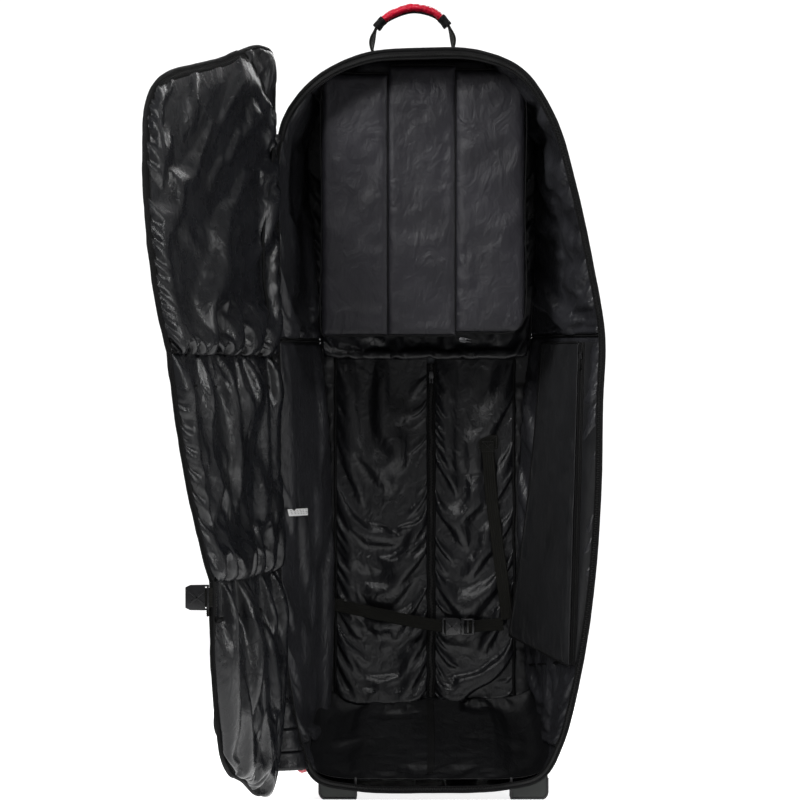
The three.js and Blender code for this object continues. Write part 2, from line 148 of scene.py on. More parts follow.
def noise(u, v, seed):
    """Smooth value noise of two coordinates, cells of size 1, from -1 to 1."""
    table = np.random.default_rng(seed).uniform(-1, 1, (64, 64))
    iu, iv = np.floor(u).astype(int), np.floor(v).astype(int)
    fu, fv = smooth(u - iu), smooth(v - iv)
    a = table[iu % 64, iv % 64]
    b = table[(iu + 1) % 64, iv % 64]
    c = table[iu % 64, (iv + 1) % 64]
    d = table[(iu + 1) % 64, (iv + 1) % 64]
    return (a * (1 - fu) + b * fu) * (1 - fv) + (c * (1 - fu) + d * fu) * fv


def ripple(t, seed):
    """Smooth noise along a line."""
    return noise(t, t * 0, seed)


def fractal(u, v, seed):
    return sum(noise(u * 2**i, v * 2**i, seed + i) / 2**i for i in range(3))


def catmull(points, closed=False):
    """Centripetal Catmull-Rom curve: a function of k, the point number, for arrays of k."""
    p = np.asarray(points, float)
    n = len(p)

    def at(k):
        k = np.asarray(k, float)
        if closed:
            i = np.floor(k).astype(int)
            w = k - i
            p0, p1, p2, p3 = (p[(i + j) % n] for j in (-1, 0, 1, 2))
        else:
            i = np.clip(np.floor(k).astype(int), 0, n - 2)
            w = k - i
            p1, p2 = p[i], p[i + 1]
            first = (i == 0)[..., None]
            last = (i == n - 2)[..., None]
            p0 = np.where(first, 2 * p1 - p2, p[np.maximum(i - 1, 0)])
            p3 = np.where(last, 2 * p2 - p1, p[np.minimum(i + 2, n - 1)])
        d0 = np.maximum(np.linalg.norm(p1 - p0, axis=-1, keepdims=True) ** 0.5, 1e-6)
        d1 = np.maximum(np.linalg.norm(p2 - p1, axis=-1, keepdims=True) ** 0.5, 1e-6)
        d2 = np.maximum(np.linalg.norm(p3 - p2, axis=-1, keepdims=True) ** 0.5, 1e-6)
        t1 = d1 * ((p1 - p0) / d0 - (p2 - p0) / (d0 + d1) + (p2 - p1) / d1)
        t2 = d1 * ((p2 - p1) / d1 - (p3 - p1) / (d1 + d2) + (p3 - p2) / d2)
        w = w[..., None]
        return p1 + t1 * w + (3 * (p2 - p1) - 2 * t1 - t2) * w**2 + (2 * (p1 - p2) + t1 + t2) * w**3

    return at


def distances(points):
    """Distance along a polyline to each of its points."""
    return np.concatenate([[0], np.cumsum(np.linalg.norm(np.diff(points, axis=0), axis=1))])


def length_of(points):
    return np.linalg.norm(np.diff(np.asarray(points, float), axis=0), axis=1).sum()


def columns(t, at, points):
    """Points interpolated at t, where at is each given point's own place."""
    return np.stack([np.interp(t, at, column) for column in points.T], -1)


def route(points, count):
    """Evenly spaced points along a smooth curve through the given ones."""
    curve = catmull(points)
    fine = curve(np.linspace(0, len(points) - 1, 40 * len(points)))
    length = distances(fine)
    return columns(np.linspace(0, length[-1], count), length, fine)


# ---- Outlines and walls ----
_rim = catmull([(s[0], s[1]) for s in STATIONS], closed=True)
_back = catmull([(s[2], s[3]) for s in STATIONS], closed=True)


def outline(curve, k, inset=0.0):
    k = np.asarray(k, float)
    along = curve(k + 0.01) - curve(k - 0.01)
    inwards = np.stack([-along[..., 1], along[..., 0]], -1)
    inwards /= np.linalg.norm(inwards, axis=-1, keepdims=True)
    return curve(k) + inwards * np.asarray(inset, float)[..., None]


def wall(k, s, inset, front=-DEPTH, rear=0.0):
    """The wall's point at station k: s is 0 at the rim and 1 at the back."""
    k, s, inset = np.broadcast_arrays(k, s, inset)
    a, b = outline(_rim, k, inset), outline(_back, k, inset)
    xz = a + (b - a) * s[..., None]
    return xyz(xz[..., 0], front + (rear - front) * s, xz[..., 1])


def x_at(z, points):
    """x of a side of an outline at height z."""
    order = np.argsort(points[:, 1])
    return np.interp(z, points[order, 1], points[order, 0])


# ---- Cloth ----
def unit(v):
    return v / np.maximum(np.linalg.norm(v, axis=-1, keepdims=True), 1e-9)


def unit_square(nu, nv):
    """Grids of u and v from 0 to 1."""
    return np.meshgrid(np.linspace(0, 1, nu), np.linspace(0, 1, nv), indexing="ij")


def grid_normals(p):
    du = np.gradient(p, axis=0)
    dv = np.gradient(p, axis=1)
    return unit(np.cross(du, dv))


def facing(grid, direction):
    """1 if the grid's normal is on the direction's side, else -1."""
    return 1 if (grid_normals(grid) @ np.asarray(direction, float)).mean() > 0 else -1


def resample(p, nu, nv):
    """A grid of points at another resolution."""
    u = np.linspace(0, p.shape[0] - 1, nu)
    v = np.linspace(0, p.shape[1] - 1, nv)
    i = np.minimum(u.astype(int), p.shape[0] - 2)
    j = np.minimum(v.astype(int), p.shape[1] - 2)
    fu, fv = (u - i)[:, None, None], (v - j)[None, :, None]
    q = p if p.ndim == 3 else p[..., None]
    a = q[i][:, j] * (1 - fu) + q[i + 1][:, j] * fu
    b = q[i][:, j + 1] * (1 - fu) + q[i + 1][:, j + 1] * fu
    out = a * (1 - fv) + b * fv
    return out if p.ndim == 3 else out[..., 0]


EDGES = [(1, 0, 1.0), (0, 1, 1.0), (1, 1, 0.5), (1, -1, 0.5), (2, 0, 0.22), (0, 2, 0.22)]


def _ends(x, di, dj):
    a = x[: x.shape[0] - di, max(0, -dj) : x.shape[1] - max(0, dj)]
    b = x[di:, max(0, dj) : x.shape[1] - max(0, -dj)]
    return a, b


def relax(x, base, normal, growth, pinned, high, pull, rounds):
    """Moves a sheet's points until its threads have their cut length, between its pins.

    growth is the extra cloth: arrays e_u, e_v, e_uv of a strain tensor in the grid's axes.
    high is how far a point may leave the base surface, pull is its drift a round.
    """
    eu, ev, euv = growth
    lengths = []
    for di, dj, weight in EDGES:
        a, b = _ends(base, di, dj)
        ga = [_ends(g, di, dj)[0] for g in (eu, ev, euv)]
        n = math.hypot(di, dj)
        tu, tv = di / n, dj / n
        strain = ga[0] * tu * tu + ga[1] * tv * tv + 2 * ga[2] * tu * tv
        rest = np.linalg.norm(b - a, axis=-1) * (1 + strain)
        lengths.append((di, dj, weight, rest))
    free = (~pinned)[..., None]
    count = np.zeros(x.shape[:2] + (1,))
    for di, dj, weight, _ in lengths:
        a, b = _ends(count, di, dj)
        a += weight
        b += weight
    for _ in range(rounds):
        move = np.zeros_like(x)
        for di, dj, weight, rest in lengths:
            a, b = _ends(x, di, dj)
            d = b - a
            length = np.maximum(np.sqrt(np.einsum("ijk,ijk->ij", d, d)), 1e-9)
            d *= (0.5 * weight * (length - rest) / length)[..., None]
            ma, mb = _ends(move, di, dj)
            ma += d
            mb -= d
        x = x + free * (move / count * 1.7 + pull)
        out = np.einsum("ijk,ijk->ij", x - base, normal)
        x = x + normal * (np.clip(out, 0.0, high) - out)[..., None]
    return x


def crumple(base, growth, seed, high, pull=(0, 0, 0), scale=60.0, rounds=(160, 120, 60), side=1,
            broad=False, rough=4.0):
    """A wrinkled cloth over a base grid, held at its border. growth is a function of (u, v).

    Worked out coarse to fine, so large folds come first and small ones ride on them; broad adds a
    still coarser first level. side is 1 where the cloth stands off along the grid's normal, -1
    against it. high is how far it may stand off, a number or a function of (u, v).
    """
    nu, nv = base.shape[:2]
    levels = [(nu // 4 + 1, nv // 4 + 1), (nu // 2 + 1, nv // 2 + 1), (nu, nv)]
    if broad:
        levels = [(nu // 9 + 1, nv // 9 + 1)] + levels
        rounds = (rounds[0], *rounds)
    drift = None
    for (mu, mv), n in zip(levels, rounds):
        coarse = resample(base, mu, mv)
        normal = grid_normals(coarse) * side
        u, v = unit_square(mu, mv)
        if drift is None:
            size_u = np.linalg.norm(np.diff(coarse, axis=0), axis=-1).sum(0).mean()
            size_v = np.linalg.norm(np.diff(coarse, axis=1), axis=-1).sum(1).mean()
            waves = fractal(u * size_u / scale + 7, v * size_v / scale + 3, seed)
            x = coarse + normal * (2.0 + rough * waves)[..., None]
        else:
            grain = noise(u * size_u / scale * 4, v * size_v / scale * 4, seed + 9)
            x = coarse + resample(drift, mu, mv) + normal * (0.3 * grain)[..., None]
        pins = (u <= 0) | (u >= 1) | (v <= 0) | (v >= 1)
        x = np.where(pins[..., None], coarse, x)
        most = high(u, v) if callable(high) else high
        x = relax(x, coarse, normal, growth(u, v), pins, most, np.array(pull, float), n)
        drift = x - coarse
    return x


def folds(*parts):
    """Growth of (angle, amount) parts. The folds run at the angle, in degrees from the u axis.

    Each part's angle and amount are numbers or functions of (u, v).
    """

    def growth(u, v):
        total = [np.zeros_like(u) for _ in range(3)]
        for angle, amount in parts:
            a = np.radians(angle(u, v) if callable(angle) else angle) + math.pi / 2
            e = amount(u, v) if callable(amount) else amount
            total[0] = total[0] + e * np.cos(a) ** 2
            total[1] = total[1] + e * np.sin(a) ** 2
            total[2] = total[2] + e * np.cos(a) * np.sin(a)
        return total

    return growth


# ---- Meshes ----
def make_object(name, vertices, faces, material, uvs=None, smooth_shading=True):
    mesh = bpy.data.meshes.new(name)
    mesh.from_pydata(bag_to_row(vertices).tolist(), [], [list(map(int, f)) for f in faces])
    mesh.validate()
    if uvs is not None:
        layer = mesh.uv_layers.new(name="UVMap")
        loops = np.zeros(len(mesh.loops), int)
        mesh.loops.foreach_get("vertex_index", loops)
        layer.data.foreach_set("uv", (np.asarray(uvs, float)[loops] / 1000).ravel())
    if smooth_shading:
        mesh.polygons.foreach_set("use_smooth", [True] * len(mesh.polygons))
    obj = bpy.data.objects.new(name, mesh)
    bpy.context.scene.collection.objects.link(obj)
    mesh.materials.append(material)
    return obj


def grid_faces(nu, nv, offset, flip):
    i, j = np.meshgrid(np.arange(nu - 1), np.arange(nv - 1), indexing="ij")
    i, j = i.ravel(), j.ravel()
    quad = np.stack([i * nv + j, (i + 1) * nv + j, (i + 1) * nv + j + 1, i * nv + j + 1], -1) + offset
    return quad[:, ::-1] if flip else quad


def grid_uv(p):
    """Cloth coordinates in millimetres, along and across the grid."""
    u = np.concatenate([np.zeros((1, p.shape[1])),
                        np.cumsum(np.linalg.norm(np.diff(p, axis=0), axis=-1), 0)])
    v = np.concatenate([np.zeros((p.shape[0], 1)),
                        np.cumsum(np.linalg.norm(np.diff(p, axis=1), axis=-1), 1)], 1)
    return np.stack([u.mean(1)[:, None] + 0 * v, v], -1)


def cloth(name, front, thickness, material, back=None, side=1):
    """A closed sheet: the front grid, and a back grid behind it. side is 1 if the front's
    normal (u cross v) is its outside."""
    nu, nv = front.shape[:2]
    if back is None:
        back = front - grid_normals(front) * side * thickness
    vertices = np.concatenate([front.reshape(-1, 3), back.reshape(-1, 3)])
    n = nu * nv
    faces = [grid_faces(nu, nv, 0, side < 0), grid_faces(nu, nv, n, side > 0)]
    ids = np.arange(n).reshape(nu, nv)
    border = np.concatenate([ids[:, 0], ids[-1, 1:], ids[-2::-1, -1], ids[0, -2:0:-1]])
    after = np.roll(border, -1)
    edge = np.stack([border, border + n, after + n, after], -1)
    faces.append(edge if side > 0 else edge[:, ::-1])
    uv = grid_uv(front).reshape(-1, 2)
    return make_object(name, vertices, np.concatenate(faces), material, np.concatenate([uv, uv]))


def sweep(name, path, section, material, up, closed=False):
    """A section, (n, 2) points anticlockwise, swept along the path. Its first axis lies along
    up x tangent, its second along up. section may be (m, n, 2), one for each path point."""
    path = np.asarray(path, float)
    m = len(path)
    if closed:
        tangent = unit(np.roll(path, -1, 0) - np.roll(path, 1, 0))
    else:
        tangent = unit(np.gradient(path, axis=0))
    up = np.broadcast_to(np.asarray(up, float), (m, 3))
    side = unit(np.cross(up, tangent))
    top = unit(np.cross(tangent, side))
    section = np.asarray(section, float)
    if section.ndim == 2:
        section = np.broadcast_to(section, (m,) + section.shape)
    n = section.shape[1]
    rings = (path[:, None] + side[:, None] * section[..., :1] + top[:, None] * section[..., 1:])
    i, j = np.meshgrid(np.arange(m if closed else m - 1), np.arange(n), indexing="ij")
    i, j = i.ravel(), j.ravel()
    i2, j2 = (i + 1) % m, (j + 1) % n
    faces = np.stack([i * n + j, i2 * n + j, i2 * n + j2, i * n + j2], -1)[:, ::-1].tolist()
    if not closed:
        faces.append(list(range(n))[::-1])
        faces.append([(m - 1) * n + j for j in range(n)])
    length = distances(path)
    around = distances(section[0])
    uv = np.stack(np.meshgrid(length, around, indexing="ij"), -1).reshape(-1, 2)
    return make_object(name, rings.reshape(-1, 3), faces, material, uv)


def oval(rx, ry, n):
    a = np.linspace(0, 2 * math.pi, n, endpoint=False)
    return np.stack([rx * np.cos(a), ry * np.sin(a)], -1)


def rounded_rect(w, h, r, n=4):
    """Points of a rounded rectangle about the origin, anticlockwise."""
    out = []
    for cx, cy, a0 in ((w / 2 - r, -h / 2 + r, -90), (w / 2 - r, h / 2 - r, 0),
                       (-w / 2 + r, h / 2 - r, 90), (-w / 2 + r, -h / 2 + r, 180)):
        a = np.radians(np.linspace(a0, a0 + 90, n))
        out.append(np.stack([cx + r * np.cos(a), cy + r * np.sin(a)], -1))
    return np.concatenate(out)


def join(name, objects):
    """One object of several, keeping their materials."""
    for o in bpy.context.selected_objects:
        o.select_set(False)
    for o in objects:
        o.select_set(True)
    bpy.context.view_layer.objects.active = objects[0]
    if len(objects) > 1:
        with bpy.context.temp_override(active_object=objects[0], selected_editable_objects=objects):
            bpy.ops.object.join()
    objects[0].name = name
    objects[0].data.name = name
    return objects[0]


# ---- Materials ----
def new_material(name, colour, roughness, metallic=0.0, specular=0.5, sheen=0.0):
    material = bpy.data.materials.new(name)
    material.use_nodes = True
    shader = material.node_tree.nodes["Principled BSDF"]
    for socket, value in (("Base Color", (*colour, 1)), ("Roughness", roughness), ("Metallic", metallic),
                          ("Specular IOR Level", specular), ("Sheen Weight", sheen),
                          ("Sheen Roughness", 0.45)):
        shader.inputs[socket].default_value = value
    return material


class Nodes:
    """Short names for building a material's nodes."""

    def __init__(self, material):
        self.tree = material.node_tree
        self.shader = self.tree.nodes["Principled BSDF"]

    def add(self, kind, **values):
        node = self.tree.nodes.new(kind)
        for key, value in values.items():
            if hasattr(node, key):
                setattr(node, key, value)
            else:
                node.inputs[key.replace("_", " ")].default_value = value
        return node

    def link(self, out, to):
        self.tree.links.new(out, to)

    def math(self, operation, a, b):
        node = self.add("ShaderNodeMath", operation=operation)
        for socket, value in zip(node.inputs, (a, b)):
            if isinstance(value, (int, float)):
                socket.default_value = value
            else:
                self.link(value, socket)
        return node.outputs[0]

    def place(self, coords, scale):
        mapping = self.add("ShaderNodeMapping")
        mapping.inputs["Scale"].default_value = scale
        source = self.add("ShaderNodeTexCoord")
        self.link(source.outputs[coords], mapping.inputs["Vector"])
        return mapping.outputs[0]

    def grain(self, coords, scale, detail=3.0, rough=0.55, distortion=0.0):
        node = self.add("ShaderNodeTexNoise", Scale=1.0, Detail=detail, Roughness=rough,
                        Distortion=distortion)
        self.link(self.place(coords, scale), node.inputs["Vector"])
        return node.outputs[0]

    def waves(self, coords, scale, direction):
        node = self.add("ShaderNodeTexWave", bands_direction=direction, Scale=1.0)
        self.link(self.place(coords, scale), node.inputs["Vector"])
        return node.outputs[0]

    def spread(self, value, low, high, out_low, out_high):
        node = self.add("ShaderNodeMapRange")
        for socket, number in zip(node.inputs[1:5], (low, high, out_low, out_high)):
            socket.default_value = number
        self.link(value, node.inputs[0])
        return node.outputs[0]

    def tint(self, value, dark, light):
        node = self.add("ShaderNodeMix", data_type="RGBA")
        node.inputs[6].default_value = (*dark, 1)
        node.inputs[7].default_value = (*light, 1)
        self.link(value, node.inputs[0])
        self.link(node.outputs[2], self.shader.inputs["Base Color"])

    def bumps(self, *heights):
        """Stacks (height, distance in metres, strength) bumps."""
        before = None
        for height, distance, strength in heights:
            node = self.add("ShaderNodeBump", Distance=distance, Strength=strength)
            self.link(height, node.inputs["Height"])
            if before is not None:
                self.link(before, node.inputs["Normal"])
            before = node.outputs[0]
        self.link(before, self.shader.inputs["Normal"])


def woven(name, colour, roughness, thread, light=1.5, specular=0.5, sheen=0.0, crease=0.0,
          crease_size=0.03, weave=0.5, rib=1, sharp=0.0):
    """A cloth: crossed threads, uneven dye, and small creases of crease_size metres.

    thread is the width of a thread in metres, and the crossing threads are 1 / rib times as wide.
    sharp adds fine ridges where the cloth has been folded hard.
    """
    material = new_material(name, colour, roughness, specular=specular, sheen=sheen)
    n = Nodes(material)
    # A wave node of scale 1 has a band every 1/3.18 units.
    f = 1 / (thread * 3.18)
    along = n.waves("UV", (f, f, f), "X")
    across = n.waves("UV", (f * rib, f * rib, f), "Y")
    threads = n.math("MULTIPLY", along, across)
    patches = n.grain("Object", (9, 9, 9), detail=4)
    fine = n.grain("UV", (900, 900, 900), detail=2)
    shade = n.math("ADD", n.math("MULTIPLY", patches, 0.7), n.math("MULTIPLY", fine, 0.3))
    n.tint(n.spread(shade, 0.3, 0.75, 0, 1), [c / light for c in colour],
           [c * light for c in colour])
    n.link(n.spread(n.grain("Object", (23, 23, 23)), 0.3, 0.7, roughness - 0.06, roughness + 0.08),
           n.shader.inputs["Roughness"])
    stack = []
    if crease:
        k = 1 / crease_size
        stack.append((n.grain("Object", (k, k, k * 0.7), detail=3, rough=0.5, distortion=1.2),
                      crease_size * 0.16, crease))
        stack.append((n.grain("Object", (k * 3.4, k * 3.4, k * 2.2), detail=2, distortion=0.6),
                      crease_size * 0.045, crease))
    if sharp:
        for size, share in ((1.9, 0.16), (0.8, 0.10)):
            k = 1 / (crease_size * size)
            ridge = n.grain("Object", (k, k, k * 0.6), detail=1, rough=0.4, distortion=0.8)
            ridge = n.math("ABSOLUTE", n.math("SUBTRACT", ridge, 0.5), 0)
            stack.append((n.math("MINIMUM", ridge, 0.10), crease_size * share * 2.4, sharp))
    stack.append((threads, thread * 0.35, weave))
    n.bumps(*stack)
    return material


def moulded(name, colour, roughness, grain=0.5, wear=1.6, specular=0.5):
    """A moulded plastic or rubber: fine spark-eroded grain and slightly worn colour."""
    material = new_material(name, colour, roughness, specular=specular)
    n = Nodes(material)
    patches = n.grain("Object", (30, 30, 30), detail=5)
    n.tint(n.spread(patches, 0.35, 0.7, 0, 1), colour, [c * wear for c in colour])
    n.link(n.spread(patches, 0.3, 0.7, roughness - 0.05, roughness + 0.08),
           n.shader.inputs["Roughness"])
    n.bumps((n.grain("Object", (700, 700, 700), detail=2), 0.0002, grain))
    return material


def metal(name, colour, roughness):
    material = new_material(name, colour, roughness, metallic=1.0)
    n = Nodes(material)
    n.link(n.spread(n.grain("Object", (60, 60, 60), detail=5), 0.3, 0.7, roughness - 0.08,
                    roughness + 0.15), n.shader.inputs["Roughness"])
    n.bumps((n.grain("Object", (900, 900, 200), detail=2), 0.0001, 0.4))
    return material


M = {
    "lining": woven("lining_satin", (0.0062, 0.0064, 0.0076), 0.32, thread=0.0008, specular=0.38,
                    crease=0.6, crease_size=0.026, weave=0.25, sharp=0.3),
    # The walls' satin is the lining's own cloth made more than twice as light: painted light, standing in
    # for the light that falls on the walls.
    "wall_lining": woven("wall_satin_painted_light", (0.0150, 0.0152, 0.0175), 0.36, thread=0.0008, specular=0.42,
                         crease=0.6, crease_size=0.030, weave=0.25, sharp=0.3),
    "lid_lining": woven("lid_satin", (0.0044, 0.0048, 0.0062), 0.27, thread=0.0008, specular=0.5,
                        crease=0.35, crease_size=0.034, weave=0.2, sharp=0.22),
    "smooth": woven("pocket_satin", (0.0060, 0.0062, 0.0070), 0.45, thread=0.0008, specular=0.3,
                    sheen=0.04, crease=0.18, crease_size=0.06, weave=0.25),
    "pad": woven("pad_nylon", (0.0112, 0.0107, 0.0138), 0.42, thread=0.0010, specular=0.30,
                 crease=0.5, crease_size=0.045, weave=0.4, sharp=0.12),
    "floor": woven("floor_satin", (0.0035, 0.0036, 0.0042), 0.46, thread=0.0008, specular=0.22,
                   crease=0.3, crease_size=0.05, weave=0.3),
    "outer": woven("outer_polyester", (0.0090, 0.0092, 0.0100), 0.66, thread=0.0018, sheen=0.08,
                   specular=0.35, crease=0.12, crease_size=0.05, weave=0.8),
    "binding": woven("binding", (0.0030, 0.0030, 0.0032), 0.72, thread=0.0012, sheen=0.0,
                     specular=0.14, crease=0.2, crease_size=0.012, weave=0.7),
    "tape": woven("zip_tape", (0.0032, 0.0032, 0.0033), 0.70, thread=0.0010, specular=0.14,
                  crease=0.1, crease_size=0.02, weave=0.8, rib=0.5),
    "teeth": moulded("zip_teeth", (0.006, 0.006, 0.006), 0.42, specular=0.3),
    "webbing": woven("webbing", (0.0066, 0.0065, 0.0052), 0.8, thread=0.0020, sheen=0.02, specular=0.16,
                     crease=0.06, crease_size=0.02, weave=1.0, rib=0.45),
    "thread": woven("thread", (0.022, 0.022, 0.021), 0.6, thread=0.0006),
    "grip": woven("grip_satin", (0.40, 0.004, 0.022), 0.36, thread=0.0008, specular=0.22,
                  crease=0.8, crease_size=0.012, weave=0.3, sharp=0.9),
    "buckle": moulded("buckle", (0.0075, 0.0075, 0.0085), 0.27, grain=0.15),
    "plastic": moulded("base_plastic", (0.014, 0.0142, 0.015), 0.45, grain=0.8),
    "foot": moulded("foot_grey", (0.034, 0.037, 0.035), 0.55, grain=0.6, wear=1.25, specular=0.25),
    "rubber": moulded("rubber", (0.015, 0.015, 0.0155), 0.6, grain=1.0),
    "hub": moulded("hub_grey", (0.22, 0.225, 0.235), 0.4, grain=0.4, wear=1.15),
    "board": moulded("board", (0.04, 0.043, 0.048), 0.6),
    "label": woven("label_satin", (0.80, 0.80, 0.79), 0.5, thread=0.0005, light=1.04, weave=0.2),
    "print": moulded("label_print", (0.10, 0.10, 0.11), 0.7, grain=0.2),
    "steel": metal("steel", (0.55, 0.56, 0.57), 0.28),
    "dark_steel": metal("dark_steel", (0.10, 0.10, 0.105), 0.32),
}

# ---- Camera, lights and floor ----
CAMERA_X, CAMERA_Z, CAMERA_DISTANCE = -60.0, 800.0, 10000.0


def studio():
    scene = bpy.context.scene
    camera = bpy.data.cameras.new("camera")
    camera.lens, camera.sensor_width, camera.clip_end = 225, 36, 100
    eye = bpy.data.objects.new("camera", camera)
    eye.location = row(CAMERA_X, -DEPTH - CAMERA_DISTANCE, CAMERA_Z)
    eye.rotation_euler = (math.pi / 2, 0, 0)
    scene.collection.objects.link(eye)
    scene.camera = eye
    scene.view_settings.view_transform = "Standard"

    world = bpy.data.worlds.new("studio")
    world.use_nodes = True
    tree = world.node_tree
    sky = tree.nodes["Background"]
    sky.inputs["Color"].default_value = (1, 1, 1, 1)
    # The studio is bright behind the bag and dimmer in front of it.
    coords, split = tree.nodes.new("ShaderNodeTexCoord"), tree.nodes.new("ShaderNodeSeparateXYZ")
    ramp = tree.nodes.new("ShaderNodeMapRange")
    for socket, value in zip(ramp.inputs[1:5], (0.35, 0.85, 0.20, 1.15)):
        socket.default_value = value
    tree.links.new(coords.outputs["Generated"], split.inputs[0])
    tree.links.new(split.outputs["Y"], ramp.inputs[0])
    tree.links.new(ramp.outputs[0], sky.inputs["Strength"])
    scene.world = world

    target = np.array(row(-60, -200, 820))
    for name, offset, size, power in (
        ("key", (-2.2, -2.6, 2.2), 0.6, 660),
        ("fill", (3.2, -1.5, 1.6), 0.7, 36),
        ("top", (-0.6, -1.6, 2.5), 1.0, 40),
        ("back", (0.6, 3.2, 1.6), 2.0, 60),
    ):
        light = bpy.data.lights.new(name, "SPOT" if name == "key" else "AREA")
        light.energy = power
        if name == "key":
            # A soft-edged beam on the upper two thirds.
            light.shadow_soft_size, light.spot_size, light.spot_blend = size, math.radians(30), 1.0
        else:
            light.shape, light.size = "DISK", size
        lamp = bpy.data.objects.new(name, light)
        lamp.location = target + offset
        aim = Vector(target + ((0.05, 0, 0.40) if name == "key" else 0)) - lamp.location
        lamp.rotation_euler = aim.to_track_quat("-Z", "Y").to_euler()
        scene.collection.objects.link(lamp)

    # A pale floor that glows, though it is no lamp: a painted glow. Its glow fades and its colour greys
    # towards the front, so that less light rises from it into the bag's open front.
    mesh = bpy.data.meshes.new("floor")
    mesh.from_pydata([(-40, -40, 0), (40, -40, 0), (40, 40, 0), (-40, 40, 0)], [], [(0, 1, 2, 3)])
    floor = bpy.data.objects.new("floor", mesh)
    scene.collection.objects.link(floor)
    paper = new_material("glowing_floor_paper", (0.93, 0.93, 0.93), 0.9, specular=0.2)
    paper.node_tree.nodes["Principled BSDF"].inputs["Emission Color"].default_value = (1, 1, 1, 1)
    n = Nodes(paper)
    place = n.add("ShaderNodeSeparateXYZ")
    n.link(n.place("Object", (1, 1, 1)), place.inputs[0])
    # Painted glow and painted shade: bright and pale near the bag, dim and grey further in front.
    near = n.spread(place.outputs[1], -2.2, -0.5, 0, 1)
    n.link(n.spread(near, 0, 1, 0.08, 0.8), n.shader.inputs["Emission Strength"])
    n.tint(near, (0.5, 0.5, 0.5), (0.93, 0.93, 0.93))
    n.bumps((n.grain("Object", (300, 300, 300)), 0.0002, 0.1))
    mesh.materials.append(paper)


studio()


# ---- Placing pieces ----
def on(obj, body, slot, *nodes, **facts):
    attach(obj, body)
    declare(obj, slot, nodes, **facts)


def declare(obj, slot, nodes=(), flat=None, held="stretched", rests=(), fill=None):
    if nodes:
        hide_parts(*nodes)
    if flat is not None:
        list(rests)


def flat_size(grid, ease):
    """Size in metres to cut a sheet that covers a grid: its mean lengths in v and in u, with ease."""
    du = np.linalg.norm(np.diff(grid, axis=0), axis=-1).sum(0).mean() / 1000
    dv = np.linalg.norm(np.diff(grid, axis=1), axis=-1).sum(1).mean() / 1000
    return float(dv) * ease, float(du) * ease


# ---- Shell: outer skins ----
WALL_SEAMS = {"baseRight": 3.0, "right": 8.0, "domeRight": 11.5, "domeLeft": 17.2, "left": 20.0,
              "baseLeft": 25.0}
# y of the walls' front and rear edges.
RIM_Y, BACK_Y = -276.3, -4.3


def wall_grid(k0, k1, s0, s1, nu, nv, inset):
    u, v = unit_square(nu, nv)
    lift = inset(u, v) if callable(inset) else inset
    return wall(k0 + (k1 - k0) * u, s0 + (s1 - s0) * v, lift, RIM_Y, BACK_Y)


def piping(name, path, radius, wobble=0.5, seed=3, up=(0, 1, 0)):
    """A round sewn edge, slightly uneven along its length."""
    path = np.asarray(path, float)
    t = np.arange(len(path)) / 6
    size = 1 + 0.12 * wobble * ripple(t, seed) + 0.06 * wobble * ripple(t * 4, seed + 1)
    section = oval(radius, radius, 8)[None] * size[:, None, None]
    return sweep(name, path, section, M["binding"], up=up)


def outer_walls():
    panels = (
        ("right_lower", "baseRight", "right", "gusset_lower_right", 150, 11),
        ("right_upper", "right", "domeRight", "gusset_upper_right", 96, 12),
        ("dome", "domeRight", "domeLeft", "gusset_dome", 170, 13),
        ("left_upper", "domeLeft", "left", "gusset_upper_left", 90, 14),
        ("left_lower", "left", "baseLeft", "gusset_lower_left", 150, 15),
    )
    for name, a, b, node, nu, seed in panels:
        k0, k1 = WALL_SEAMS[a] + 0.006, WALL_SEAMS[b] - 0.006

        def crown(u, v):
            edge = np.minimum(smooth(np.minimum(u, 1 - u) * 14), smooth(np.minimum(v, 1 - v) * 6))
            return 2.2 - 2.6 * edge

        base = wall_grid(k0, k1, 0, 1, nu, 48, crown)
        front = crumple(base, folds((80, 0.012), (10, 0.008)), seed, high=3.0, side=-1, scale=120,
                        rounds=(60, 40, 20))
        back = wall_grid(k0, k1, 0, 1, nu, 48, 5.5)
        skin = cloth(f"wall_{name}", front, 3, M["outer"], back=back, side=-1)
        on(skin, "shell", "outer", node)
    # The seams between the panels, and the corded edge round the back.
    for i, seam in enumerate(("right", "domeRight", "domeLeft", "left")):
        k = WALL_SEAMS[seam]
        line = wall(k, np.linspace(0.01, 0.99, 40), 1.0, RIM_Y, BACK_Y)
        cord = piping(f"wall_seam_{seam}", line, 2.6, up=(0.3, 0, 1), seed=20 + i)
        on(cord, "shell", "outer")
    k = np.linspace(0, N_STATIONS, 420, endpoint=False)
    edge = wall(k, 1.0, 1.5, RIM_Y, -3.0)
    cord = sweep("back_edge_piping", edge, oval(4.2, 4.2, 8), M["binding"], up=(0, 1, 0), closed=True)
    on(cord, "shell", "outer")


def back_skin():
    """The outer back: a padded panel with three sewn channels across it."""
    nu, nv = 150, 60
    foot, head = 57, 1470
    z = foot + (head - foot) * (1 - np.cos(np.linspace(0, math.pi, nu))) / 2
    k = np.linspace(0, N_STATIONS, 3000)
    loop = outline(_back, k, 6.0)
    right, left = loop[k < 13.5], loop[k > 14.5]
    xr = np.interp(z, right[:, 1], right[:, 0])
    xl = np.interp(z, left[::-1][:, 1], left[::-1][:, 0])
    v = np.linspace(0, 1, nv)[None]
    x = xl[:, None] + (xr - xl)[:, None] * v
    zz = z[:, None] + 0 * x
    edge = np.minimum(smooth(np.minimum(v, 1 - v) * 9), smooth(np.minimum(zz - foot, head - zz) / 45))
    channels = sum(bump(zz, c, 12) for c in (430, 800, 1170))
    puff = 5.0 * edge * (1 - 0.85 * np.clip(channels, 0, 1))
    base = xyz(x, puff - 2.0, zz)
    front = crumple(base, folds((20, 0.010), (100, 0.010)), 31, high=3.0, side=-1, scale=140,
                    rounds=(60, 40, 20))
    skin = cloth("back_skin", front, 3, M["outer"], back=xyz(x, -4.0, zz), side=-1)
    on(skin, "shell", "outer", "back_panel")


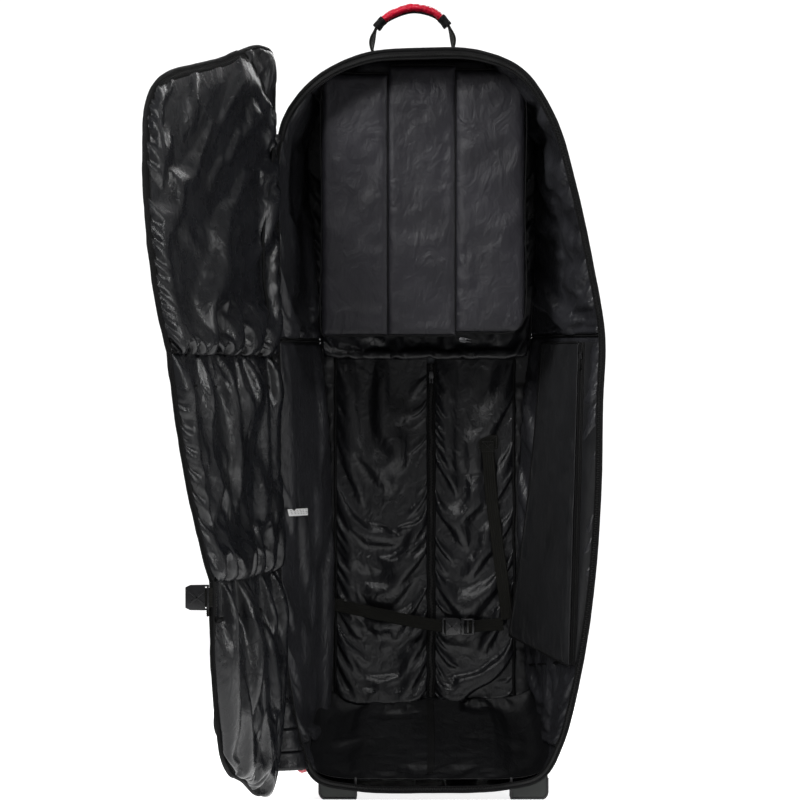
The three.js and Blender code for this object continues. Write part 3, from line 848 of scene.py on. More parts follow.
# ---- Rim: zip tape, binding and teeth ----
def band_width(k):
    """The rim's black band is broad over the top and narrower down the sides and foot."""
    k = np.asarray(k, float) % N_STATIONS
    return 9.5 + 9.5 * bump(k, 14, 4.2)


def rim():
    k0, k1 = 25.5 - N_STATIONS, 17.7
    nu = 620
    k = np.linspace(k0, k1, nu)
    across = np.linspace(0, 1, 9)
    wave = 0.9 * ripple(k * 3.0, 41) + 0.4 * ripple(k * 11.0, 42)
    inset = 2 + np.outer(band_width(k), across)
    xz = outline(_rim, np.repeat(k[:, None], 9, 1), inset)
    y = -DEPTH - 1.6 - 1.2 * np.sin(across * math.pi)[None] + 0.5 * np.outer(wave, across)
    front = xyz(xz[..., 0], y, xz[..., 1])
    back = front.copy()
    back[..., 1] = -DEPTH + 3.4
    tape = cloth("rim_tape", front, 3, M["tape"], back=back, side=-1)
    on(tape, "shell", "tape", "rim_zip_tape")
    edge = outline(_rim, k, 3.0)
    bead = xyz(edge[:, 0], -DEPTH - 1.5 + 0.4 * wave, edge[:, 1])
    on(piping("rim_binding", bead, 3.6, seed=43), "shell", "tape")
    inner = outline(_rim, k, 2.5 + band_width(k))
    roll = xyz(inner[:, 0], -DEPTH - 1.0 + 0.6 * wave, inner[:, 1])
    on(piping("rim_inner_roll", roll, 1.9, seed=44), "shell", "tape")

    def zip_line(t):
        k = k0 + (k1 - k0) * t
        xz = outline(_rim, k, 2 + band_width(k) * 0.62)
        return xyz(xz[..., 0], -DEPTH - 3.8, xz[..., 1])

    on(teeth("rim_zip_teeth", zip_line, 3600), "shell", "tape")


def teeth(name, line, length, up=(0, -1, 0), pitch=4.2):
    """A row of small moulded teeth along a line, each a chamfered block, as one mesh."""
    count = int(length / pitch)
    t = (np.arange(count) + 0.5) / count
    p = line(t)
    tangent = unit(line(t + 1e-4) - line(t - 1e-4))
    up = np.broadcast_to(np.asarray(up, float), p.shape)
    side = unit(np.cross(up, tangent))
    top = unit(np.cross(tangent, side))
    a, b, h = 1.2, 2.6, 1.0
    shift = np.where(np.arange(count) % 2 == 0, 0.7, -0.7)[:, None]
    corners = []
    for w, z in ((1, 0), (0.7, 1)):
        for sx, sy in ((-1, -1), (1, -1), (1, 1), (-1, 1)):
            corners.append(p + tangent * (a * w * sx) + side * (b * w * sy + shift) + top * (h * z))
    vertices = np.stack(corners, 1).reshape(-1, 3)
    block = np.array([(3, 2, 1, 0), (4, 5, 6, 7), (0, 1, 5, 4), (1, 2, 6, 5), (2, 3, 7, 6),
                      (3, 0, 4, 7)])
    faces = (block[None] + np.arange(count)[:, None, None] * 8).reshape(-1, 4)
    return make_object(name, vertices, faces, M["teeth"], smooth_shading=False)


# ---- Shell: linings ----
def wall_lining(name, k0, k1, nu, nv, seed, growth, high, inset=9.0, scale=70, broad=False, rough=4.0):
    base = wall_grid(k0, k1, 0.02, 0.985, nu, nv, inset)
    grid = crumple(base, growth, seed, high=high, pull=(0, 0, -0.05), scale=scale, broad=broad,
                   rough=rough)
    # The walls take the lining satin's lighter copy, which is painted light.
    lining = cloth(name, grid, LINING, M["wall_lining"])
    on(lining, "shell", "lining", flat=flat_size(base, 1.04)[::-1], rests=["wall_right_lower"])


def puckers(width=0.12, amount=0.10):
    """Extra cloth gathered along the v = 0 and v = 1 edges, in folds across them."""
    return lambda u, v: amount * (np.exp(-v / width) + 0.6 * np.exp(-(1 - v) / width))


def linings():
    # Right wall, low: hangs loose behind the side pocket; crumpled below it.
    wall_lining(
        "lining_right_lower", 3.0, 7.97, 170, 66, 51,
        folds((90, puckers()), (20, lambda u, v: 0.03 + 0.03 * (1 - u)), (-30, lambda u, v: 0.03 * v)),
        high=14)
    wall_lining(
        "lining_right_upper", 8.03, 12.6, 150, 66, 52,
        folds((90, puckers()), (62, 0.07), (-30, lambda u, v: 0.03 * v)),
        high=19, scale=80, broad=True, rough=7.0)
    wall_lining(
        "lining_dome", 12.63, 16.3, 110, 60, 53,
        folds((90, puckers(amount=0.07)), (10, 0.02)),
        high=lambda u, v: 9 - 7 * bump(v, 0.3, 0.2), inset=7.0)
    wall_lining(
        "lining_left_upper", 16.33, 19.97, 140, 66, 54,
        folds((6, 0.045), (90, puckers(amount=0.04)), (25, lambda u, v: 0.012 * v)),
        high=22, scale=170, broad=True)
    wall_lining(
        "lining_left_lower", 20.03, 25.0, 180, 66, 55,
        folds((3, 0.045), (90, puckers(amount=0.03)), (-14, lambda u, v: 0.012 * v)),
        high=24, scale=180, broad=True)
    # The seam that runs back from the foot of the side pocket.
    t = np.linspace(0.04, 0.96, 90)
    line = wall(4.32 - 0.12 * t, t, 13.0 + 2 * ripple(t * 9, 69), RIM_Y, BACK_Y)
    on(piping("lining_seam_pocket_foot", line, 2.4, up=(0.3, 0, 1), seed=68), "shell", "lining")
    # Seams between the linings.
    for i, k in enumerate((8.0, 12.615, 16.315, 20.0)):
        line = wall(k, np.linspace(0.03, 0.97, 60), 10.0, RIM_Y, BACK_Y)
        on(piping(f"lining_seam_{i + 1}", line, 2.2, up=(0.3, 0, 1), seed=60 + i), "shell", "lining")


def plane_grid(x0, x1, z0, z1, y, nu, nv):
    """Grid with u up and v to the left, so that its normal faces the open front."""
    u, v = unit_square(nu, nv)
    x0, x1 = (f(u[:, :1] * (z1 - z0) + z0) if callable(f) else f for f in (x0, x1))
    x = x1 + (x0 - x1) * v
    z = z0 + (z1 - z0) * u
    return xyz(x, y(x, z) if callable(y) else y, z)


def back_side(z, right, inset):
    k = np.linspace(1.0, 13.4, 600) if right else np.linspace(27.0, 14.6, 600)
    return x_at(z, outline(_back, k, inset))


# The lower back lining: its sides, its foot and top, and x of its middle zip.
SIDES = {"left": -192, "right": 174}
LOW, HIGH = 186, 888
ZIP_X = 4.0


def back_linings():
    # Lower halves, gathered into the seam over them and puckered into the middle zip.
    for name, x0, x1, nv, seed in (
        ("left", SIDES["left"], ZIP_X - 7, 60, 71),
        ("right", ZIP_X + 7, SIDES["right"], 54, 72),
    ):
        base = plane_grid(x0, x1, LOW, HIGH, -14.5, 210, nv)
        zip_side = (lambda v: v) if name == "left" else (lambda v: 1 - v)

        def gathers(u, v, side=zip_side):
            return 0.13 * np.exp(-side(v) / 0.10) + 0.05 * np.exp(-(1 - side(v)) / 0.08)

        def top(u, v):
            return 0.11 * np.exp(-(1 - u) / 0.05)

        tilt = 1 if name == "left" else -1
        growth = folds(
            (90, gathers), (0, top),
            (lambda u, v, t=tilt: t * 38 + 60 * noise(u * 6, v * 2 + t, 73), 0.060),
            (lambda u, v: 80 * noise(u * 5 + 9, v * 2, 74), lambda u, v: 0.035 + 0.03 * (1 - u)),
        )

        def lift(u, v, x0=x0, x1=x1):
            """The cloth lies low under the straps."""
            x, z = x1 + (x0 - x1) * v, LOW + (HIGH - LOW) * u
            upright = bump(x, np.interp(z, [356, 460, 600, 712], [159, 146, 128, 119]), 34)
            upright = upright * step(z, 330, 350) * (1 - step(z, 735, 760))
            across = bump(z, np.interp(x, [-190, -50, 36, 152], [379, 350, 336, 340]), 30)
            return 17 - 11 * upright - 6 * across * (1 - upright)

        grid = crumple(base, growth, seed, high=lift, pull=(0, 0, -0.08), scale=110, broad=True,
                       rough=7.0)
        sheet = cloth(f"back_lining_{name}", grid, LINING, M["lining"])
        on(sheet, "shell", "lining", f"liner_lower_{name}", flat=flat_size(base, 1.05),
           rests=["stiffener_board"])
    # Middle zip: tape, teeth and a slider near its top.
    u = np.linspace(0, 1, 240)
    wobble = 1.6 * ripple(u * 26, 75)
    line = xyz(ZIP_X + wobble, -16.0 + 1.2 * ripple(u * 30, 76), LOW + (HIGH - 14 - LOW) * u)
    tape = sweep("back_zip_tape", line, rounded_rect(15, 1.6, 0.7), M["tape"], up=(0, -1, 0))
    on(tape, "shell", "tape", "liner_zip_tape")

    def zip_line(t):
        return columns(t, u, line) + np.array([0, -1.2, 0])

    on(teeth("back_zip_teeth", zip_line, HIGH - LOW, pitch=3.4), "shell", "tape")
    for side, dx in (("left", -6.5), ("right", 6.5)):
        on(piping(f"back_zip_seam_{side}", line + np.array([dx, -1.5, 0]), 2.0, seed=77), "shell",
           "lining")
    # Seams at the sides of the lower lining and over its top.
    for side, x in SIDES.items():
        z = np.linspace(LOW, 905, 150)
        path = xyz(x + 1.5 * ripple(z / 30, 80), -15.5, z)
        on(piping(f"back_seam_{side}", path, 3.0, seed=81), "shell", "lining")
    x = np.linspace(*SIDES.values(), 160)
    path = xyz(x, -17.5, 889 + 1.5 * ripple(x / 18, 82))
    on(piping("back_seam_top", path, 3.6, seed=83, up=(0, 0, 1)), "shell", "lining")

    # The strip under the pad and the upper lining, one cloth with a soft roll at its foot.
    def upper_y(x, z):
        return -14.5 - 9 * bump(z, 905, 20)

    base = plane_grid(lambda z: back_side(z, False, 11), lambda z: back_side(z, True, 11), 890, 1462,
                      upper_y, 170, 100)
    growth = folds((0, lambda u, v: 0.04 + 0.09 * np.exp(-u / 0.05)), (90, puckers(amount=0.05)),
                   (40, 0.02))
    grid = crumple(base, growth, 84, high=12, pull=(0, 0, -0.06))
    sheet = cloth("back_lining_upper", grid, LINING, M["lining"])
    on(sheet, "shell", "lining", "liner_upper", flat=flat_size(base, 1.04), rests=["stiffener_board"])
    # Narrow strips between the lower lining and the walls.
    for side, right in (("left", False), ("right", True)):
        ends = SIDES[side], lambda z, right=right: back_side(z, right, 6)
        base = plane_grid(*(ends if right else ends[::-1]), 150, 905, -11.5, 150, 12)
        grid = crumple(base, folds((90, 0.06)), 88 + right, high=8, scale=50)
        on(cloth(f"back_strip_{side}", grid, LINING, M["smooth"]), "shell", "lining")


def side_x(z, y, right, inset):
    """x of the wall's inside at each height and depth."""
    k = np.linspace(0.0, 6.0, 240) if right else np.linspace(28.0, 22.0, 240)
    out = np.zeros(z.shape)
    for i in range(z.shape[0]):
        p = wall(k, (float(y[i, 0]) + DEPTH) / DEPTH, inset)
        out[i] = x_at(z[i], p[:, ::2])
    return out


def floor_lining():
    """The floor slopes up over the wheel housings to the foot of the back."""
    nu, nv = 90, 120
    u, v = unit_square(nu, nv)
    y = -266 + u * (-18 + 266)
    z = 40 + u * (188 - 40)
    lifted = z + 22 * np.abs(1 - 2 * v) ** 8
    right, left = (side_x(lifted[:, :1] + 0 * z, y, right, 8.0) for right in (True, False))
    x = right + (left - right) * v
    base = xyz(x, y, lifted)[:, ::-1]
    growth = folds((0, lambda u, v: 0.02 + 0.03 * u), (90, 0.015), (30, 0.015))
    grid = crumple(base, growth, 91, high=14, scale=150, broad=True)
    sheet = cloth("floor_lining", grid, 1.5, M["floor"])
    on(sheet, "shell", "lining", "base_floor", flat=flat_size(base, 1.02), held="laid",
       rests=["base_tub"])
    # The back's zip runs on down over the floor.
    column = np.argmin(np.abs(grid[nu // 2, :, 0] - ZIP_X))
    path = resample(grid[:, column:column + 2], 60, 2)[4:58, 0] + np.array([0, -1.0, 2.2])
    path = path[np.argsort(-path[:, 2])]
    on(sweep("floor_zip_tape", path, rounded_rect(15, 1.6, 0.7), M["tape"], up=(0, -0.5, 0.86)),
       "shell", "tape")
    # The corners beside the floor, and the front lip up to the rim band.
    for name, k0, k1, seed in (("right", 0.2, 3.0, 92), ("left", 25.0, 27.8, 93)):
        wall_lining(f"lining_foot_{name}", k0, k1, 70, 56, seed, folds((20, 0.04), (-40, 0.03)), high=12)
    wall_lining("lining_foot_middle", -0.2, 0.2, 24, 40, 94, folds((0, 0.02)), high=5)


outer_walls()
back_skin()
rim()
linings()
back_linings()
floor_lining()


# ---- Lid ----
LID_TWIST = {"middle": (-2740.0, 1081.0), "upper": (-2328.0, 1547.0)}


def swing(points, section):
    """Turns points of the closed lid open, each by the angle of its own height."""
    p = np.asarray(points, float)
    degrees = np.full(p.shape[:-1], SECTIONS[section][2])
    if section in LID_TWIST:
        low, high = LID_TWIST[section]
        degrees = degrees * step(p[..., 2], low, high)
    a = np.radians(degrees)
    dx, dy = p[..., 0] - HINGE[0], p[..., 1] - HINGE[1]
    x = HINGE[0] + dx * np.cos(a) + dy * np.sin(a)
    y = HINGE[1] - dx * np.sin(a) + dy * np.cos(a)
    return xyz(x, y, p[..., 2])


def on_lid(obj, section, slot, *nodes, **facts):
    """A piece of the lid. In the lower section it is attached to the section's body; in the middle and
    upper sections, already twisted with their height, its shape is only baked in place.
    """
    if section in LID_TWIST:
        low, high = LID_TWIST[section]
        row(0, 0, low)
        row(0, 0, high)
        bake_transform(obj)
    else:
        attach(obj, f"lid_{section}")
    declare(obj, slot, nodes, **facts)


_droop_curve = catmull([(-300, 1487), (-217, 1490), (-138, 1480), (-56, 1462), (50, 1444), (154, 1424),
                        (222, 1392), (262, 1338), (290, 1270)])
_droop_fine = _droop_curve(np.linspace(0, 8, 400))


def _droop(x):
    """The top edge of the lid as it hangs, at each x."""
    return np.stack([x, np.interp(x, _droop_fine[:, 0], _droop_fine[:, 1])], -1)


def foot_rise(x, z):
    """How far the lid's free foot is drawn up."""
    return (62 * step(x, -210, 130) + 24 * step(x, 120, 250)) * (1 - step(z, 60, 330))


def lid_outline(k, inset=3.0):
    """The closed lid's edge: the rim's, a little lower on top and cut short at its free foot."""
    p = outline(_rim, k, inset)
    x, z = p[..., 0], p[..., 1]
    over = step(x, -235, -90) * step(z, 1290, 1390)
    return np.stack([x, z + (_droop(x)[..., 1] - z) * over + foot_rise(x, z)], -1)


def _edge_at(z, right):
    k = np.linspace(2.0, 12.6, 900) if right else np.linspace(26.6, 16.0, 900)
    return x_at(z, lid_outline(k))


def free_edge(z):
    z = np.asarray(z, float)
    return _edge_at(z, True) - 12 * bump(z, 438, 62)


def hinge_edge(z):
    return np.maximum(_edge_at(np.asarray(z, float), False), -310.0) + 3


def along(points, t):
    """Points of a polyline at shares t of its length."""
    length = distances(points)
    return columns(t * length[-1], length, points)


def side_line(z0, z1, edge):
    z = np.linspace(z0, z1, 400)
    return np.stack([edge(z), z], -1)


def lid_sides(section):
    """Left, right, bottom and top boundaries of a lid section, as polylines in x and z."""
    z0, z1 = SECTIONS[section][:2]
    if section == "lower":
        bottom = lid_outline(np.linspace(26.2, 30.2, 300))
        z_left, z_right = bottom[0, 1], bottom[-1, 1]
        left, right = side_line(z_left, z1, hinge_edge), side_line(z_right, z1, free_edge)
        left[0], right[0] = bottom[0], bottom[-1]
        top = np.stack([left[-1], right[-1]])
    elif section == "upper":
        top = lid_outline(np.linspace(16.9, 11.6, 400))
        left, right = side_line(z0, top[0, 1], hinge_edge), side_line(z0, top[-1, 1], free_edge)
        left[-1], right[-1] = top[0], top[-1]
        bottom = np.stack([left[0], right[0]])
    else:
        left, right = side_line(z0, z1, hinge_edge), side_line(z0, z1, free_edge)
        bottom, top = np.stack([left[0], right[0]]), np.stack([left[-1], right[-1]])
    return left, right, bottom, top


def lid_grid(section, nu, nv):
    """u runs up and v from the hinge to the free edge, on the closed lid, in x and z."""
    left, right, bottom, top = lid_sides(section)
    u, v = np.linspace(0, 1, nu), np.linspace(0, 1, nv)
    lo, hi, b, t = along(left, u), along(right, u), along(bottom, v), along(top, v)
    uu, vv = u[:, None, None], v[None, :, None]
    flat = (1 - vv) * lo[:, None] + vv * hi[:, None] + (1 - uu) * b[None] + uu * t[None]
    flat -= ((1 - uu) * (1 - vv) * lo[0] + (1 - uu) * vv * hi[0] + uu * (1 - vv) * lo[-1]
             + uu * vv * hi[-1])
    return flat


def rise(flat, y):
    return xyz(flat[..., 0], y, flat[..., 1])


LID_INSIDE, LID_OUTSIDE = -284.0, -289.0
# Directions on the open lid: out of its lining, out of its outer face, and beside its edge.
LID_FACE, LID_BACK, LID_ALONG = (0.96, -0.27, 0), (-0.96, 0.27, 0), (0.97, 0.24, 0.05)


def gather_line(z, at, width, amount):
    return amount * np.exp(-np.abs(z - at) / width)


def lid_linings():
    for section, nu, nv, seed in (("upper", 170, 150, 101), ("middle", 130, 150, 102),
                                  ("lower", 130, 150, 103)):
        flat = lid_grid(section, nu, nv)
        u, v = unit_square(nu, nv)
        dome = np.sin(math.pi * u) * np.sin(math.pi * v)
        z = flat[..., 1]
        low, high = z.min(), z.max()

        def height(u, lo=low, hi=high):
            return lo + (hi - lo) * u

        if section == "upper":
            bulge = 10 * dome ** 0.7
            growth = folds(
                (90, puckers(amount=0.08, width=0.05)),
                (0, lambda u, v, h=height: gather_line(h(u), 905, 22, 0.12)),
                (0, lambda u, v: 0.10 * np.exp(-(1 - u) / 0.03)),
                (lambda u, v: -46 + 16 * noise(u * 3, v * 3, 104), 0.075),
                (22, lambda u, v: 0.06 * np.exp(-u / 0.18) * step(v, 0.3, 0.7)),
                (4, lambda u, v: 0.09 * np.exp(-u / 0.12)),
            )
        elif section == "middle":
            bulge = 14 * dome ** 0.8
            growth = folds(
                (90, puckers(amount=0.08, width=0.05)),
                (0, lambda u, v, h=height: gather_line(h(u), 822, 25, 0.12)
                 + gather_line(h(u), 490, 22, 0.16)),
                (lambda u, v: 75 * noise(u * 4, v * 3, 105), 0.085),
                (0, lambda u, v: 0.08 * np.exp(-u / 0.10) + 0.08 * np.exp(-(1 - u) / 0.12)),
            )
        else:
            z_share = np.clip((z - 60) / (386 - 60), 0, 1)
            bulge = 34 * np.sin(math.pi * z_share) ** 0.6 * np.sin(math.pi * v) ** 0.7
            growth = folds(
                (90, puckers(amount=0.07, width=0.05)),
                (0, lambda u, v, h=height: gather_line(h(u), 386, 20, 0.18) + 0.05 * step(h(u), 380, 400)
                 + 0.03),
                (lambda u, v: 14 - 28 * v, 0.05),
                (lambda u, v: 60 * noise(u * 3, v * 3, 106), 0.04),
            )
        base = rise(flat, LID_INSIDE + bulge)
        grid = crumple(base, growth, seed, high=36, pull=(0, 0, -0.04), scale=170, broad=True,
                       rough=12.0)
        sheet = cloth(f"lid_{section}_lining_cloth", swing(grid, section), LINING, M["lid_lining"])
        if section == "lower":
            row(*swing(np.array([0, LID_INSIDE - 1.6, 200]), "lower"))
            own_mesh(sheet)
        on_lid(sheet, section, "lining", f"lid_{section}_lining", flat=flat_size(base, 1.06),
               held="hung", rests=[f"lid_{section}_skin"])
        # The outer face, with a shallow crown.
        crown = rise(flat, LID_OUTSIDE - 3.0 * dome ** 0.5)
        coarse = resample(crown, nu * 2 // 3, nv * 2 // 3)
        outer = crumple(coarse, folds((70, 0.010), (-10, 0.010)), seed + 5, high=3.5, side=-1,
                        scale=130, rounds=(60, 40, 20))
        behind = coarse.copy()
        behind[..., 1] = LID_OUTSIDE + 3.2
        skin = cloth(f"lid_{section}_skin", swing(outer, section), 3, M["outer"],
                     back=swing(behind, section), side=-1)
        on_lid(skin, section, "outer", f"lid_{section}_panel")


def set_in(xz, ahead, offset, section):
    """Points of the lid's edge moved inwards, ahead being its direction at each."""
    inwards = np.stack([-ahead[:, 1], ahead[:, 0]], -1)
    middle = np.array([0.0, sum(SECTIONS[section][:2]) / 2])
    sign = np.sign(np.einsum("ij,ij->i", inwards, middle - xz).mean())
    return xz + sign * offset * unit(inwards)


def lid_edges():
    """The bound edge and the zip's other half round the lid, in its three sections."""
    for section in SECTIONS:
        left, right, bottom, top = lid_sides(section)
        if section == "upper":
            free = np.concatenate([top, right[::-1][1:]])
            parts = [np.concatenate([left, free[1:]])]
        elif section == "lower":
            free = np.concatenate([bottom, right[1:]])
            parts = [free]
        else:
            free, parts = right, [left, right]
        for i, part in enumerate(parts):
            n = int(length_of(part) / 6)
            line = along(part, np.linspace(0, 1, n))
            t = np.arange(n)
            path = rise(line, LID_INSIDE - 2.5 + 0.7 * ripple(t / 4, 110 + i))
            bead = piping(f"lid_{section}_binding_{i + 1}", swing(path, section), 5.2, seed=111 + i,
                          up=LID_ALONG)
            on_lid(bead, section, "tape")
        length = float(length_of(free))

        def line(t, free=free, section=section):
            ahead = along(free, np.clip(t + 1e-3, 0, 1)) - along(free, np.clip(t - 1e-3, 0, 1))
            return swing(rise(set_in(along(free, t), ahead, 9, section), LID_INSIDE + 3.0), section)

        on_lid(teeth(f"lid_{section}_zip_teeth", line, length, up=LID_FACE), section, "tape")
        xz = along(free, np.linspace(0, 1, int(length / 8)))
        flat = np.stack([set_in(xz, np.gradient(xz, axis=0), offset, section)
                         for offset in np.linspace(1, 17, 5)], 1)
        front = rise(flat, LID_INSIDE + 1.6 + 1.2 * np.sin(np.linspace(0, math.pi, 5))[None])
        behind = rise(flat, LID_INSIDE - 1.0)
        tape = cloth(f"lid_{section}_zip_tape", swing(front, section), 2, M["tape"],
                     back=swing(behind, section), side=facing(front, Y))
        on_lid(tape, section, "tape")


def lid_seams():
    """Gathered seams across the lid, each a puckered roll that hides a join."""
    for name, z, section, radius in (("high", 909, "upper", 3.4), ("high_low", 824, "middle", 3.4),
                                     ("join_high", 890, "middle", 2.6), ("waist_high", 489, "middle", 4),
                                     ("waist_low", 387, "lower", 4.5), ("join_low", 462, "lower", 2.4)):
        a, b = float(hinge_edge(z)) + 4, float(free_edge(z)) - 4
        n = int((b - a) / 3.2)
        t = np.linspace(0, 1, n)
        x = a + (b - a) * t
        zz = z + 2.6 * ripple(x / 11, 120) + 1.5 * ripple(x / 5, 121)
        y = LID_INSIDE + 4 + 2.4 * ripple(x / 9, 122)
        roll = piping(f"lid_seam_{name}", swing(xyz(x, y, zz), section), radius, wobble=2.4,
                      seed=123, up=(0, 0, 1))
        on_lid(roll, section, "lining")
    # The binding that runs up the lid beside the hinge and bows out above the waist.
    for section in ("middle", "upper"):
        z0, z1 = SECTIONS[section][:2]
        z = np.linspace(max(z0, 70), min(z1, 1360), 160)
        d = 14 + 86 * bump(z, 1065, 300) + 5 * ripple(z / 45, 126)
        x = hinge_edge(z) + d
        y = LID_INSIDE + 7 + 8 * bump(z, 1065, 250) + 0 * z
        strip = sweep(f"lid_{section}_hinge_binding", swing(xyz(x, y, z), section),
                      rounded_rect(11, 4.5, 2), M["binding"], up=LID_FACE)
        on_lid(strip, section, "tape")


def gap_flap(name, section, x, ks, anchor, keep, height, sign):
    """Cloth tucked inside the lid's edge, its end set from the rim's height."""
    rim_z, edge = (np.interp(x, line[:, 0], line[:, 1]) for line in (outline(_rim, ks), lid_outline(ks)))
    shut = anchor + (rim_z - 5 * sign - anchor) / keep
    end = np.minimum(edge - 9, shut) if sign > 0 else np.maximum(edge + 9, shut)
    v = np.linspace(0, 1, 16)[None]
    z = end[:, None] - sign * height * (1 - v)
    y = -286.6 + 0.5 * noise(x[:, None] / 20 + 0 * v, v * 3 + 0 * x[:, None], 145)
    front = xyz(x[:, None], y, z)
    behind = front.copy()
    behind[..., 1] = -288.2
    side = facing(front, Y)
    flap = cloth(name, swing(front, section), 1.4, M["outer"], back=swing(behind, section), side=side)
    on(flap, f"lid_{section}", "outer")
    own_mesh(flap)


def hinge_web():
    """The strip of cloth that joins the shell to the lid."""
    left_rim = outline(_rim, np.linspace(27.0, 16.0, 800), 2.0)
    nv = 16
    strips = [("lower", a, b) for a, b in ((64, 100), (100, 145), (145, 205), (205, 290), (290, 462))]
    for i, (part, z0, z1) in enumerate([*strips, ("middle", 462, 890), ("upper", 890, 1330)]):
        n = max(int((z1 - z0) / 3.2), 12)
        zz = np.linspace(z0, z1, n)
        a = xyz(x_at(zz, left_rim) + 1, -281.0, zz)
        b = swing(xyz(hinge_edge(zz) + 5, -284.0, zz), part)
        v = np.linspace(0, 1, nv)[None]
        # Where the rim curves away the strip is wide, and lies on an arc about the hinge line.
        polar = []
        for p in (a, b):
            d = p[:, :2] - np.array(HINGE)
            polar.append((np.hypot(d[:, 0], d[:, 1])[:, None], np.arctan2(d[:, 1], d[:, 0])[:, None]))
        radius = polar[0][0] * (1 - v) + polar[1][0] * v
        angle = polar[0][1] * (1 - v) + polar[1][1] * v
        arc = xyz(HINGE[0] + radius * np.cos(angle), HINGE[1] + radius * np.sin(angle), zz[:, None])
        straight = a[:, None] * (1 - v[..., None]) + b[:, None] * v[..., None]
        wide = step(radius.max(1), 10, 25)[:, None, None]
        base = straight * (1 - wide) + arc * wide
        growth = folds((90, 0.10), (0, 0.03))
        side = facing(base, X)
        grid = crumple(base, growth, 131, high=5, side=side, scale=30)
        web = cloth(f"hinge_web_{i + 1}", grid, 1.4, M["lining"], side=side)
        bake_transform(web)
        declare(web, "lining")
    k = np.linspace(17.7, 25.5, 260)
    rim_edge = outline(_rim, k, 4.0)
    line = xyz(rim_edge[:, 0], -DEPTH - 1.5 + 0.6 * ripple(k * 6, 133), rim_edge[:, 1])
    cord = sweep("hinge_tape_strip", line, rounded_rect(13, 5, 2.2), M["tape"], up=(0, -1, 0))
    on(cord, "shell", "tape", "hinge_tape")


def lid_corner():
    """The lid's soft top corner by the hinge, standing up as it hangs open."""
    n, m = 60, 26
    k = np.linspace(18.3, 15.0, n)
    low = lid_outline(k, 12.0)
    target = route([(-300, 0, 1268), (-301, 0, 1380), (-300, 0, 1466), (-288, 0, 1491),
                    (-252, 0, 1499), (-217, 0, 1498), (-172, 0, 1489), (-138, 0, 1480),
                    (-112, 0, 1474)], n)[:, ::2]
    v = np.linspace(0, 1, m)[None, :, None]
    flat = low[:, None] * (1 - v) + target[:, None] * v
    base = rise(flat, LID_INSIDE - 0.6)
    side = facing(base, Y)
    growth = folds((90, 0.06), (20, 0.03))
    grid = crumple(base, growth, 141, high=8, side=side, scale=50)
    behind = rise(flat, LID_OUTSIDE + 1)
    ear = cloth("lid_corner_lining", swing(grid, "upper"), 4, M["lining"],
                back=swing(behind, "upper"), side=side)
    bead = piping("lid_corner_binding", swing(rise(target, LID_INSIDE - 2.5), "upper"), 5.0, seed=142,
                  up=LID_ALONG)
    for piece, slot in ((ear, "lining"), (bead, "tape")):
        on(piece, "lid_upper", slot)
        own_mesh(piece)


# ---- Solid helpers ----
def shaped(name, outline_xy, depth, axes, origin, material, bevel):
    """A plate: an outline in two axes, its thickness along the third, edges rounded."""
    ax, ay, az = (np.asarray(a, float) for a in axes)
    pts = np.asarray(outline_xy, float)
    o = np.asarray(origin, float)
    rings = [o + pts[:, :1] * ax + pts[:, 1:] * ay + az * s * depth / 2 for s in (-1, 1)]
    n = len(pts)
    faces = [list(range(n))[::-1], list(range(n, 2 * n))]
    faces += [[i, (i + 1) % n, n + (i + 1) % n, n + i] for i in range(n)]
    obj = make_object(name, np.concatenate(rings), faces, material, smooth_shading=False)
    round_edges(obj, bevel)
    return obj


def round_edges(obj, width, segments=2):
    """Rounds the sharp edges of a mesh, width in millimetres: for good on new meshes, while the imported
    model's parts keep the modifier and flat faces.
    """
    modifier = obj.modifiers.new("bevel", "BEVEL")
    modifier.width = width / 1000
    modifier.segments = segments
    modifier.limit_method = "ANGLE"
    modifier.angle_limit = math.radians(35)
    modifier.use_clamp_overlap = True
    if "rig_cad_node" in obj:
        for polygon in obj.data.polygons:
            polygon.use_smooth = False
        return
    graph = bpy.context.evaluated_depsgraph_get()
    mesh = bpy.data.meshes.new_from_object(obj.evaluated_get(graph))
    obj.modifiers.clear()
    obj.data = mesh
    mesh.polygons.foreach_set("use_smooth", [True] * len(mesh.polygons))
    mesh.set_sharp_from_angle(angle=math.radians(40))


def rbox(name, centre, size, axes, material, bevel, corner):
    w, h, d = size
    if corner:
        pts = rounded_rect(w, h, corner)
    else:
        pts = np.array([(-w / 2, -h / 2), (w / 2, -h / 2), (w / 2, h / 2), (-w / 2, h / 2)])
    return shaped(name, pts, d, axes, centre, material, bevel)


def lathe(name, profile, centre, axis, material, n):
    """Turned about an axis through the centre. profile is (radius, along) points, closed."""
    profile = np.asarray(profile, float)
    a = np.linspace(0, 2 * math.pi, n, endpoint=False)
    axis = unit(np.asarray(axis, float))
    e1 = unit(np.cross(axis, (0.13, 0.2, 1)))
    e2 = np.cross(axis, e1)
    radius = profile[None, :, 0] + 0 * a[:, None]
    rings = (np.asarray(centre, float) + axis * profile[None, :, 1:] +
             radius[..., None] * (e1 * np.cos(a)[:, None, None] + e2 * np.sin(a)[:, None, None]))
    m = len(profile)
    i, j = np.meshgrid(np.arange(n), np.arange(m), indexing="ij")
    i, j = i.ravel(), j.ravel()
    faces = np.stack([i * m + j, ((i + 1) % n) * m + j, ((i + 1) % n) * m + (j + 1) % m,
                      i * m + (j + 1) % m], -1)
    obj = make_object(name, rings.reshape(-1, 3), faces, material)
    fix_normals(obj)
    obj.data.set_sharp_from_angle(angle=math.radians(35))
    return obj


def fix_normals(obj):
    """Turns a closed mesh's faces outwards."""
    mesh = bmesh.new()
    mesh.from_mesh(obj.data)
    bmesh.ops.recalc_face_normals(mesh, faces=mesh.faces)
    mesh.to_mesh(obj.data)
    mesh.free()


